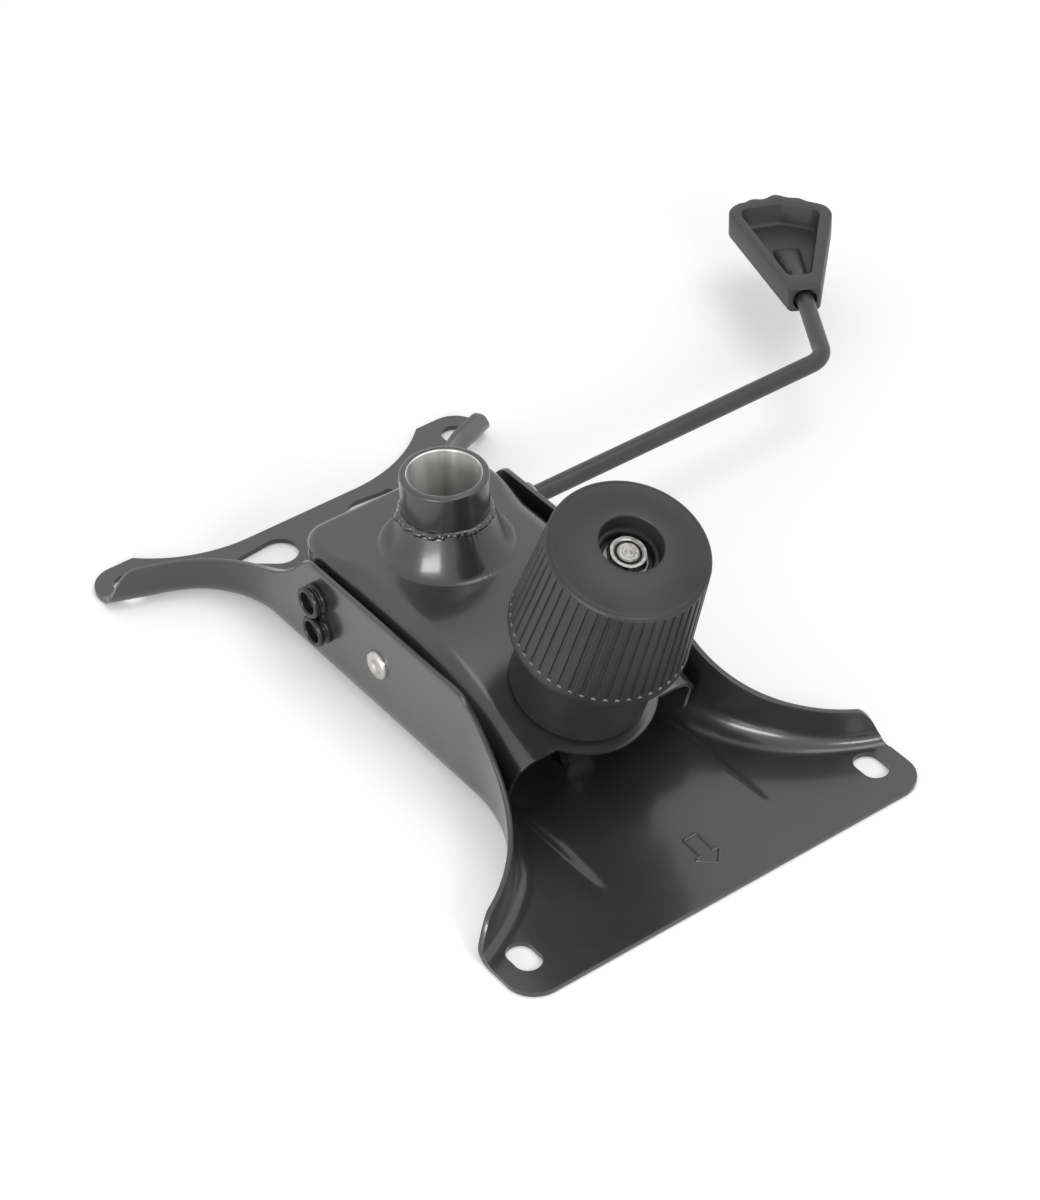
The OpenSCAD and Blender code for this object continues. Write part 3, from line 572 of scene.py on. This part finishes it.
print("knob's axis starts at", np.round(FOOT, 1).tolist())

# %% [markdown]
# Seen from above the housing is a rectangle with round rear corners. Its rays are spread
# so that those at the rear and sides aim at points round the socket's hole, and those
# ahead of it at the middle line.

# %% Outline of the housing
REAR_X, SIDE_Y, CORNER_R, AHEAD_X = -62, 42, 12, 10
CORNER_X, CORNER_Y = REAR_X + CORNER_R, SIDE_Y - CORNER_R


def house_outline():
    """Points from the rear middle round to the front lip, inward directions and the points aimed at."""
    y = np.linspace(0, CORNER_Y, 20)[:-1]
    a = np.linspace(0, np.pi / 2, 20)[:-1]
    x = np.concatenate([np.linspace(CORNER_X, AHEAD_X, 56)[:-1], np.linspace(AHEAD_X, LIP_X, 70)])
    corner = np.stack([CORNER_X - CORNER_R * np.cos(a), CORNER_Y + CORNER_R * np.sin(a)], -1)
    outline = np.vstack([np.stack([0 * y + REAR_X, y], -1), corner, np.stack([x, 0 * x + SIDE_Y], -1)])
    way = np.vstack([np.tile([1.0, 0.0], (len(y), 1)), np.stack([np.cos(a), -np.sin(a)], -1),
                     np.tile([0.0, -1.0], (len(x), 1))])
    beside = 120 * np.clip((AHEAD_X - x) / (AHEAD_X - CORNER_X), 0, 1)
    angle = np.radians(np.concatenate([180 - 40 * y / CORNER_Y, 140 - 20 * a / (np.pi / 2), beside]))
    target = np.stack([LIFT_X + HOLE_R * np.cos(angle), HOLE_R * np.sin(angle)], -1)
    onward = np.concatenate([0 * y, 0 * a, np.clip((x - AHEAD_X) / (LIP_X - AHEAD_X), 0, 1)])
    target[:, 0] += onward * (LIP_X - LIFT_X - HOLE_R)
    return outline, way, target


rim, rim_in, aim = house_outline()
fold = 3.6 + 6.4 * smooth((rim[:, 0] + 48) / 24)
print("housing outline:", len(rim), "points")

# %% [markdown]
# The side leans a little, as a drawn wall must to leave its die, and in front the top
# runs out in a round tongue under the sleeve. Both are bent into the same grid rather
# than added as pieces, so no seam shows.

# %% Grid of the half housing, mirrored and thickened
STRETCH_X, TONGUE_MIN = 45, 19.5  # from where the top stretches to the tongue, its least run


def housing_half():
    """Rows up the side, over the fold and in to the aim; the front rows stretch out to the round tongue."""
    up = np.linspace(0, 1, 14)[:-1]
    a = np.linspace(0, np.pi / 2, 14)
    over = np.linspace(0, 1, 64)[1:]
    inner = rim + fold[:, None] * rim_in
    folded = rim + (1 - np.cos(a))[:, None, None] * (inner - rim)
    roof = inner + over[:, None, None] * (aim - inner)
    xy = np.concatenate([np.repeat(rim[None], len(up), 0), folded, roof])
    x, y = xy[..., 0], xy[..., 1]
    tongue = np.maximum(TONGUE_MIN, np.sqrt(np.maximum(TONGUE_R**2 - y**2, 0)))
    edge = CREASE + (SLOPE_RUN + tongue) * np.cos(LEAN)
    x = np.where(x > STRETCH_X, STRETCH_X + (x - STRETCH_X) * (edge - STRETCH_X) / (LIP_X - STRETCH_X), x)
    top = house_top(x, y)
    drop = np.concatenate([0 * up + 1, 1 - np.sin(a), 0 * over])[:, None] * fold
    skirt = 8 + 8 * np.clip((-3.5 - x) / 59.5, 0, 1)
    share = np.concatenate([up, 0 * a + 1, 0 * over + 1])[:, None]
    z = skirt + (top - drop - skirt) * share
    x = x - (top - z) * np.tan(LEAN) * smooth((x - CREASE) / 52) - 2.4 * share * smooth((-50 - x) / 10)
    return np.stack([x, y, z], -1)


house = mesh_object("tilt_housing_sheet", mirrored(housing_half()), outward=False)
if of_faces(house, "normal")[:, 2].mean() < 0:
    house.data.flip_normals()
thicken(house, SHEET, EDGE)
dress(house, "housing", "black_paint", "tilt_housing", sharp=34)

# %% [markdown]
# ## Column socket and its weld
# The socket is a length of thick tube, enamelled outside and bare inside, with a bead of
# weld round its foot. Both are round, so a turned profile is enough; the bead's profile
# swells and shrinks round the tube, since a hand weld is never even.

# %% Turned profiles
def lathe(profile, turns=96, ripple=None):
    """Closed profile of radius and height turned about Z; ripple may change the radius by the angle."""
    ring = np.vstack([profile, profile[:1]])
    angle = np.linspace(0, 2 * np.pi, turns, endpoint=False)[None, :]
    r, s = ring[:, :1] + 0 * angle, ring[:, 1:] + 0 * angle
    if ripple is not None:
        r = ripple(r, s, angle)
    points = np.stack([r * np.cos(angle), r * np.sin(angle), s], -1)
    return points.reshape(-1, 3), quads(len(ring), turns, wrap=True)


def place(points, base, axis):
    """Turns Z to axis, with X kept as near the part's X as it can be, and moves the origin to base."""
    w = np.asarray(axis, float) / np.linalg.norm(axis)
    v = np.cross(w, [1.0, 0.0, 0.0])
    v = v / np.linalg.norm(v)
    return np.asarray(base, float) + points @ np.stack([np.cross(v, w), v, w])


def turned(name, profile, base, axis, turns, ripple=None):
    """Object made of one turned profile, set on its base along its axis."""
    points, faces = lathe(np.asarray(profile, float), turns, ripple)
    return mesh_object(name, [(place(points, base, axis), faces)])


print("lathe ready")

# %% Socket tube
BORE_R, TUBE_R, TUBE_LOW, TUBE_TOP = 14.0, 17.0, 53, 84
tube_wall = rounded([(BORE_R, TUBE_LOW), (TUBE_R, TUBE_LOW), (TUBE_R, TUBE_TOP), (BORE_R, TUBE_TOP)],
                    [0.3, 0.3, 1.1, 0.8])
tube = turned("gas_lift_tube_turned", tube_wall, (LIFT_X, 0, 0), (0, 0, 1), 128)
dress(tube, "housing", "black_paint", "gas_lift_tube")
spot = of_faces(tube, "center") / MM
second_finish(tube, "socket_steel", np.hypot(spot[:, 0] - LIFT_X, spot[:, 1]) < BORE_R + 0.35)

# %% Weld bead
BEAD_CORE = 16.8


def bead_ripple(r, s, angle):
    """Bead that grows and shrinks, with short scales like overlapped drops and a few lumps on the front."""
    size = 0.86 + 0.18 * np.sin(3 * angle + 0.6) + 0.12 * np.sin(7 * angle + 2)
    size = size + 0.16 * np.sin(13 * angle) * np.sin(29 * angle + 1)
    spots, widths = np.array([4.35, 4.75, 5.05, 5.35, 5.62]), np.array([0.10, 0.07, 0.10, 0.07, 0.05])
    lumps = np.exp(-(((angle[..., None] - spots) / widths) ** 2)).sum(-1)
    return BEAD_CORE + (r - BEAD_CORE) * (size + 0.5 * lumps)


half_turn = np.linspace(-0.5 * np.pi, 0.5 * np.pi, 12)
crown = np.stack([16.9 + 1.9 * np.cos(half_turn), 67.0 + 1.7 * np.sin(half_turn)], -1)
bead = np.vstack([crown, [[16.2, 68.5], [16.2, 65.5]]])
weld = turned("weld_bead_run", bead, (LIFT_X, 0, 0), (0, 0, 1), 360, bead_ripple)
dress(weld, "housing", "weld_paint", "weld_bead")

# %% [markdown]
# ## Spring sleeve and spring
# A plain moulded sleeve hides a stout compression spring. The sleeve is turned. The
# spring is a wire along a helix; its ends lie flat, as ground ends do, because the rise
# per turn eases in and out. It is shortened from both ends: the tilt lifts its seat and
# the knob brings the washer down. So it is made as two halves that meet in the middle,
# the lower one riding with the housing, the upper one with the feed.

# %% Sleeve
sleeve_wall = rounded([(24.6, 1.3), (26.2, 1.3), (26.2, 44), (24.6, 44)], 0.7)
sleeve = turned("spring_sleeve_moulded", sleeve_wall, FOOT, K, 128)
# painted shade: the sleeve takes the darker copy of the black plastic
dress(sleeve, "housing", "painted_shade_plastic", "spring_sleeve")

# %% Spring
WIRE_R, COIL_R, COILS, SPRING_LOW, SPRING_TOP = 2.5, 19.7, 6.5, 4.5, 69.0


def helix(turns, low, high, radius, count=520):
    """Circle that rises from low to high; the rise is slower at both ends, so the end turns lie flatter."""
    t = np.linspace(0, 1, count)
    a = 2 * np.pi * turns * t
    rise = low + (high - low) * (0.82 * t + 0.18 * smooth(t))
    return np.stack([radius * np.cos(a), radius * np.sin(a), rise], -1)


path = place(helix(COILS, SPRING_LOW, SPRING_TOP, COIL_R), FOOT, K)
meet = len(path) // 2
lower = mesh_object("tension_spring_lower", [sweep(path[:meet + 1], WIRE_R, K, 14)])
dress(lower, "housing", "steel", "tension_spring")
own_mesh(lower)
upper = mesh_object("tension_spring_upper", [sweep(path[meet:], WIRE_R, K, 14)])
dress(upper, "feed", "steel")
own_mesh(upper)

# %% [markdown]
# ## Tension knob
# The knob is a moulded cup: a smooth band below, a tall grip with narrow grooves, a tight
# shoulder and a stepped recess for the nut. Ribs could be separate bars, but on the mould
# they are one surface, so the lathe's radius is dented all round, only over the height of
# the grip. Each groove stops short on a small ledge above the band, and the ledges take a
# far lighter plastic: a painted highlight where light catches them.

# %% Outline and grip of the knob
KNOB_LOW, KNOB_TOP, LEDGE = 35.6, 86.6, 39.8  # heights along the axis
RIBS, GROOVE, SHOULDER, DOME = 48, 0.75, 2.2, 3.2
FOOT_R, TAPER, MOUTH_R, WEB = 33.4, 3.7, 12.3, 73.6


def side_radius(s):
    """Radius of the grip: a straight taper from the foot to the shoulder."""
    return FOOT_R - TAPER * (s - KNOB_LOW) / (KNOB_TOP - SHOULDER - KNOB_LOW)


def grip(r, s, angle):
    """Takes grooves a third of the pitch wide out of the radius, from the ledge up to the shoulder."""
    where = (s > LEDGE) * smooth((KNOB_TOP - SHOULDER + 0.5 - s) / 0.8) * (r > 24)
    off = np.abs((angle * RIBS / (2 * np.pi)) % 1 - 0.5)
    return r - GROOVE * where * np.clip((0.2 - off) / 0.08, 0, 1)


def knob_profile():
    """Closed outline: up the outside, over the shoulder, down the recess and back under the web."""
    band = [KNOB_LOW + 0.6, LEDGE - 1.5, LEDGE - 0.06, LEDGE + 0.06]
    s = np.concatenate([band, np.linspace(41, KNOB_TOP - SHOULDER, 14)])
    side = np.stack([side_radius(s), s], -1)
    a = np.linspace(0, np.pi / 2, 10)[1:]
    turn = side[-1] + SHOULDER * np.stack([np.cos(a) - 1, np.sin(a)], -1)
    low = [(30.4, KNOB_LOW), (32.8, KNOB_LOW), (33.2, KNOB_LOW + 0.2)]
    r = np.linspace(27, MOUTH_R, 12)
    dome = np.stack([r, KNOB_TOP + DOME * (1 - ((r - MOUTH_R) / 15.2) ** 2)], -1)
    peak = KNOB_TOP + DOME
    mouth = [(11.9, peak - 0.1), (11.6, peak - 0.5), (11.5, KNOB_TOP - 3.4)]
    step = [(11.2, KNOB_TOP - 3.9), (10.2, KNOB_TOP - 4.1), (9.9, KNOB_TOP - 4.5), (9.8, 78.6), (4.4, 78.6)]
    return np.vstack([low, side, turn, dome, mouth, step, [(4.4, WEB), (27.4, WEB)]])


print("knob", KNOB_TOP - KNOB_LOW, "mm tall, radius", FOOT_R, "mm less a taper of", TAPER, "mm")

# %% Knob with painted highlights on its ledges
knob = turned("tension_knob_moulded", knob_profile(), FOOT, K, RIBS * 16, grip)
# painted shade: the knob takes the darker copy of the black plastic
dress(knob, "knob", "painted_shade_plastic", "tension_knob", sharp=34)
spot = of_faces(knob, "center") / MM - FOOT
level = spot @ K
off_axis = np.linalg.norm(spot - level[:, None] * K, axis=1)
# painted highlight: the ledge faces inside the grooves take the far lighter plastic
second_finish(knob, "painted_ledge_highlight", (np.abs(level - LEDGE) < 0.05) & (off_axis < side_radius(LEDGE) - 0.2))

# %% [markdown]
# ## Nut and bolt end
# A zinc nut is pressed into the knob and the bolt's end shows in it. A hexagon is a lathe
# whose radius follows the six flats: the distance to a flat divided by the cosine of the
# angle from its middle.

# %% Knob nut
FLATS = 13.0


def six_flats(r, s, angle):
    """Radius of a hexagon where the profile is the nut's body, plain round elsewhere."""
    off = (angle + np.pi / 6) % (np.pi / 3) - np.pi / 6
    hexagon = np.minimum(FLATS / 2 / np.cos(off), r)
    return np.where((s > 79.9) & (r > 4.5), hexagon, r)


nut = [(4.05, 78.65), (8.4, 78.65), (8.4, 79.5), (8.1, 79.8), (7.6, 79.95), (7.5, 83.2), (6.6, 84.4),
       (5.5, 84.5), (5.0, 84.1), (4.6, 82.4), (4.05, 82.0)]
hexnut = turned("knob_nut_pressed", nut, FOOT, K, 144, six_flats)
dress(hexnut, "knob", "darker_zinc", "knob_nut", sharp=24)

# %% Bolt end
tip = [(0, 83.0), (4.03, 83.0), (4.03, 84.0), (3.6, 84.45), (2.5, 84.5), (2.2, 84.3), (1.3, 84.3),
       (1.0, 84.5), (0, 84.5)]
bolt_end = turned("tension_bolt_end", tip, FOOT, K, 64)
dress(bolt_end, "bolt", "darker_zinc", sharp=30)

# %% [markdown]
# ## Bushes and rivet
# The lever's rod runs in a plastic double bush in each wall; the lower hole stays empty.
# The pivot pin ends in a dished rivet head. All are turned shapes, set square to the
# wall, and the bush adds a web between its two barrels.

# %% Double bushes
ROD_X, ROD_Z = -42, 35.6
EMPTY_X, EMPTY_Z = -40.2, 22.8
BARREL = rounded([(3.9, -3.1), (6.5, -3.1), (6.5, -2.05), (5.5, -1.95), (5.5, 0.02), (6.5, 0.05),
                  (6.55, 1.7), (5.5, 2.2), (5.5, 3.1), (6.5, 3.5), (6.5, 4.9), (5.9, 5.4), (4.9, 5.4),
                  (4.4, 4.9), (4.3, 2.1), (3.9, 2.0)], 0.25, 3)


def bush(side):
    """Two ringed barrels with open mouths and the web between them, on the wall of the given side."""
    points, faces = lathe(BARREL, 72)
    spots = np.array([[ROD_X, WALL_Y * side, ROD_Z], [EMPTY_X, WALL_Y * side, EMPTY_Z]])
    barrels = [(place(points, barrel, (0, side, 0)), faces) for barrel in spots]
    web = round_hull([(ROD_X, 29.6, 4.2), (EMPTY_X, 28.8, 4.2)], 48)
    depth = np.array([0.02, 1.5, 1.8])[:, None]
    shrink = np.array([1.0, 1.0, 0.9])[:, None, None]
    flat = web.mean(0) + shrink * (web - web.mean(0))
    y = side * (WALL_Y + depth + 0 * flat[..., 0])
    skin = np.stack([flat[..., 0], y, flat[..., 1]], -1)
    caps = np.broadcast_to(skin.mean(1, keepdims=True), skin.shape)
    skin = np.concatenate([caps[:1], skin, caps[-1:]])
    return barrels + [(skin.reshape(-1, 3), quads(5, len(web), wrap=True))]


dress(mesh_object("near_bush_moulded", bush(-1)), "seat", "gloss_plastic", "near_bush")
dress(mesh_object("far_bush_moulded", bush(1)), "seat", "gloss_plastic", "far_bush")

# %% Pivot rivet
head = np.array([(5, WALL_Y), (5.8, 47.25), (5.8, 47.9), (5.5, 48.5), (4.7, 49.0), (2.8, 49.3), (2.1, 49.2),
                 (1.5, 48.7), (0.9, 48.4), (0, 48.3)])
pin = turned("pivot_rivet", np.vstack([head[::-1] * [1, -1], head]), (-3.1, 0, 28.8), (0, 1, 0), 64)
dress(pin, "seat", "zinc", "pivot_pin", sharp=60)

# %% [markdown]
# ## Height lever
# A bent rod turns in the bushes. It could be two cylinders with a ball at the corner, but
# real rod is bent round a former, so a circle follows a path of straight, arc and
# straight.

# %% Lever rod
ROD_R, FORMER_R, CORNER_OUT = 3.75, 12.0, 204
LEG = np.array([np.cos(np.radians(150)), np.sin(np.radians(150)), 0.0])
CORNER = np.array([ROD_X, CORNER_OUT, ROD_Z])


def rod_path():
    """From the near bush along Y to the bend, a circle through sixty degrees, then along the leg."""
    cut = FORMER_R * np.tan(np.radians(30))
    y = np.linspace(-45.6, CORNER_OUT - cut, 60)
    a = np.linspace(0, np.radians(60), 26)[1:]
    t = np.linspace(cut, 61.5, 30)[1:]
    first = np.stack([0 * y + ROD_X, y, 0 * y + ROD_Z], -1)
    arc = np.stack([ROD_X - FORMER_R * (1 - np.cos(a)), CORNER_OUT - cut + FORMER_R * np.sin(a),
                    0 * a + ROD_Z], -1)
    return np.vstack([first, arc, CORNER + t[:, None] * LEG])


rod = mesh_object("lever_rod_bent", [sweep(rod_path(), ROD_R, [0, 0, 1], 32)])
dress(rod, "lever", "rod_paint", "lever_rod")

# %% [markdown]
# A moulded paddle is pressed on the leg. Its walls could be cut out of a block, but it is
# simpler to see it as a set of rings: under side, wall, rim, cavity and cavity floor
# follow one another, so one grid makes the whole moulding. Each ring is the outer or the
# inner outline, moved inwards by a little, at its own height.

# %% Outlines of the paddle
OUTER = [(7, 4.8, 2.4), (7, -4.8, 2.4), (66, 12.5, 9.5), (61, -12.5, 9.5), (66, 0, 12.4)]
INNER = [(18, 3.4, 2.6), (18, -2.6, 2.6), (64, 11.6, 5.4), (60, -11.0, 5.4), (64, 0, 6.6)]
OUTSIDE = [(1.6, -6), (0.5, -5.7), (0, -5), (0, 0), (0, 5), (0.35, 5.7), (1.1, 6)]  # inwards by, height
CAVITY = [(-0.6, 6), (-0.1, 5.8), (0.15, 5.3), (0.9, -2.8), (1.5, -3.6), (2.2, -3.9)]
SCALLOP, FLOOR_Z, TONGUE_HALF = 0.8, -3.9, 5.7


def ring_at(outline, count=240):
    """Points at equal steps of length round a closed outline, from its first point."""
    loop = np.vstack([outline, outline[:1]])
    run = np.concatenate([[0], np.cumsum(np.linalg.norm(np.diff(loop, axis=0), axis=1))])
    s = np.linspace(0, run[-1], count, endpoint=False)
    return np.stack([np.interp(s, run, loop[:, 0]), np.interp(s, run, loop[:, 1])], -1)


def inset(ring, depth):
    """Moves each point of a ring inwards, square to the line between its neighbours."""
    along = np.roll(ring, -1, 0) - np.roll(ring, 1, 0)
    along = along / np.linalg.norm(along, axis=1, keepdims=True)
    return ring + depth * np.stack([-along[:, 1], along[:, 0]], -1)


def scalloped(ring):
    """Outline whose far end is drawn back by a cosine of the place across it."""
    x, y = ring[:, 0], ring[:, 1]
    wave = np.cos(2 * np.pi * y / 10.5) * smooth((x - 69) / 5) * smooth((16 - np.abs(y)) / 3)
    return ring - np.stack([SCALLOP - SCALLOP * wave, 0 * wave], -1) * smooth((ring[:, :1] - 66) / 8)


print("paddle:", len(OUTSIDE), "rings outside,", len(CAVITY), "in the cavity")

# %% Lever paddle
def paddle():
    """Rings from the under side's middle to the cavity floor, where a half-round tongue rises."""
    outer, inner = scalloped(ring_at(round_hull(OUTER, 720))), ring_at(round_hull(INNER, 720))
    rings = [0 * outer + [45, 0]]
    rings += [inset(outer, d) for d, h in OUTSIDE]
    rings += [inset(inner, d) for d, h in CAVITY]
    opposite = np.roll(inner[::-1], 1, 0)
    spine = np.stack([np.clip((inner + opposite)[:, 0] / 2, 28, 58), 0 * inner[:, 1]], -1)
    deep = rings[-1] + np.linspace(0, 1, 26)[1:, None, None] * (spine - rings[-1])
    flat = np.concatenate([np.array(rings), deep])
    heights = [OUTSIDE[0][1]] + [h for d, h in OUTSIDE + CAVITY] + [FLOOR_Z] * len(deep)
    z = np.array(heights)[:, None] + 0 * flat[..., 0]
    u, v = flat[..., 0], flat[..., 1]
    bow = np.sqrt(np.clip(1 - (v / TONGUE_HALF) ** 2, 0, 1))
    bow = bow * np.sqrt(np.clip(1 - (np.clip(u - 42, 0, 7) / 7) ** 2, 0, 1))
    tongue = FLOOR_Z + (4.4 - FLOOR_Z - 0.17 * (u - 15)) * bow
    low_rows = np.arange(len(flat))[:, None] >= 1 + len(OUTSIDE) + 3
    z = np.where(low_rows, np.maximum(z, tongue), z)
    return np.stack([u + 38, v, z], -1).reshape(-1, 3), quads(len(flat), len(outer), wrap=True)


points, faces = paddle()
across = np.array([-LEG[1], LEG[0], 0.0])
points = CORNER + points @ np.stack([LEG, across, [0.0, 0.0, 1.0]])
grip_end = mesh_object("lever_paddle_moulded", [(points, faces)])
carve(grip_end, turned("bore", [(0, 1), (5.2, 1), (5.2, 8.6), (0, 8.6)], CORNER + 38 * LEG, LEG, 48))
dress(grip_end, "lever", "black_plastic", "lever_paddle", sharp=40)

# %% [markdown]
# ## Pieces carried over from the CAD
# Pins, clips, lugs, pads and washers sit inside, where their exact CAD shape is all that
# shows, so they only get a finish.

# %% Finishes of the carried-over nodes
# painted shade: the anchor lugs, pin and clips take the near-black steel, for the deep shade under the
# tongue
CARRIED = {"anchor_lugs": "painted_shade_steel", "anchor_pin": "painted_shade_steel", "anchor_clips": "painted_shade_steel",
           "upright_stops": "rubber", "recline_stops": "rubber", "pivot_bushes": "nylon",
           "spring_seat": "steel", "tension_bolt": "steel", "thrust_washer": "steel",
           "release_arm": "steel", "lever_clips": "steel"}
for name, kind in CARRIED.items():
    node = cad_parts[name]
    node.data.materials.clear()
    node.data.materials.append(FINISH[kind])
print("carried over:", ", ".join(CARRIED))

# %% [markdown]
# ## Floor, light and camera
# The photo shows the mechanism on plain white in soft light from all round, with a few
# bright panels that draw the highlights. A pale floor and a white surround give the even
# light; three panels give the glints. The floor glows a little to the camera alone, which
# makes it white without lighting the object, and it still takes the shadow.

# %% Floor
FLOOR_HALF, FLOOR_DROP, FLOOR_GLOW = 30000.0, -0.6, 0.14
corners = np.array([[-1, -1], [1, -1], [1, 1], [-1, 1]]) * FLOOR_HALF
floor_points = np.column_stack([corners, np.full(4, FLOOR_DROP)])
floor = mesh_object("floor", [(floor_points, np.array([[0, 1, 2, 3]]))], outward=False)
pale = finish("pale_floor", (0.955, 0.955, 0.955), (0.970, 0.970, 0.970), (0.85, 0.95), patch=2.0, bump=0.0)
floor.data.materials.append(pale)
glow = pale.node_tree.nodes["Principled BSDF"]
dial(glow, {"Emission Color": (1, 1, 1, 1)})
to_eye = pale.node_tree.nodes.new("ShaderNodeMapRange")
dial(to_eye, {"To Min": 0.0, "To Max": FLOOR_GLOW})
eye_ray = pale.node_tree.nodes.new("ShaderNodeLightPath").outputs["Is Camera Ray"]
wire(pale.node_tree, (eye_ray, to_eye.inputs["Value"]),
     (to_eye.outputs["Result"], glow.inputs["Emission Strength"]))
print("floor laid")

# %% [markdown]
# The surround is white where it is seen, mirrored or looked at through a gap, and a
# little dimmer as a light, so that colours render about as they are written. A picture of
# a studio could do this too, but a plain level needs no file.

# %% Surround
DIM, WHITE = 0.70, 1.0
world = bpy.data.worlds.new("studio")
scene.world = world
world.use_nodes = True
studio = world.node_tree
sky = studio.nodes["Background"]
dial(sky, {"Color": (1, 1, 1, 1)})
rays = studio.nodes.new("ShaderNodeLightPath")
seen = studio.nodes.new("ShaderNodeMath")
seen.operation = "MAXIMUM"
through = studio.nodes.new("ShaderNodeMath")
through.operation = "MAXIMUM"
strength = studio.nodes.new("ShaderNodeMapRange")
dial(strength, {"To Min": DIM, "To Max": WHITE})
wire(studio, (rays.outputs["Is Camera Ray"], seen.inputs[0]),
     (rays.outputs["Is Glossy Ray"], seen.inputs[1]),
     (seen.outputs["Value"], through.inputs[0]),
     (rays.outputs["Is Transmission Ray"], through.inputs[1]),
     (through.outputs["Value"], strength.inputs["Value"]),
     (strength.outputs["Result"], sky.inputs["Strength"]))
print("surround", WHITE, "to the eye and", DIM, "as a light")

# %% Lamps
def panel(name, spot, wide, tall, watts, target=(0, 0, 0.03)):
    """Oblong lamp at spot, turned to its target: its local -Z points at it and its X lies level."""
    lamp = bpy.data.lights.new(name, "AREA")
    lamp.shape, lamp.size, lamp.size_y, lamp.energy = "RECTANGLE", wide, tall, watts
    obj = bpy.data.objects.new(name, lamp)
    back = np.array(spot, float) - target
    back = back / np.linalg.norm(back)
    right = np.cross([0, 0, 1], back)
    right = right / np.linalg.norm(right)
    cols = np.column_stack([right, np.cross(back, right), back, spot])
    obj.matrix_world = Matrix(np.vstack([cols, [0, 0, 0, 1]]).tolist())
    bpy.context.collection.objects.link(obj)
    return obj


lamps = [panel("strip", (0.54, -1.15, 0.31), 0.75, 0.28, 8.0),
         panel("front", (1.2, -0.1, 0.75), 0.4, 0.3, 4.0),
         panel("top", (0.3, 0.5, 1.7), 0.8, 0.8, 5.0)]
print("lamps:", [lamp.name for lamp in lamps])

# %% [markdown]
# The camera stands where the photo was taken from. It could be set by eye, but the four
# slots of the plate, whose places are known, fix its spot, its directions and its lens.

# %% Camera at the photo's angle
RIGHT = np.array([0.59956, 0.80006, -0.02085])
DOWN = np.array([0.49731, -0.39284, -0.77354])
LOOK = np.array([-0.62706, 0.45342, -0.63341])
EYE = np.array([809.64, -569.09, 847.29]) * MM
lens = bpy.data.cameras.new("photo_view")
lens.sensor_fit, lens.sensor_height, lens.lens = "VERTICAL", 36.0, 102.223
camera = bpy.data.objects.new("photo_view", lens)
columns = np.column_stack([RIGHT, -DOWN, -LOOK, EYE])
camera.matrix_world = Matrix(np.vstack([columns, [0, 0, 0, 1]]).tolist())
bpy.context.collection.objects.link(camera)
scene.camera = camera
scene.view_settings.view_transform = "Standard"
print("camera", np.round(EYE, 3).tolist())
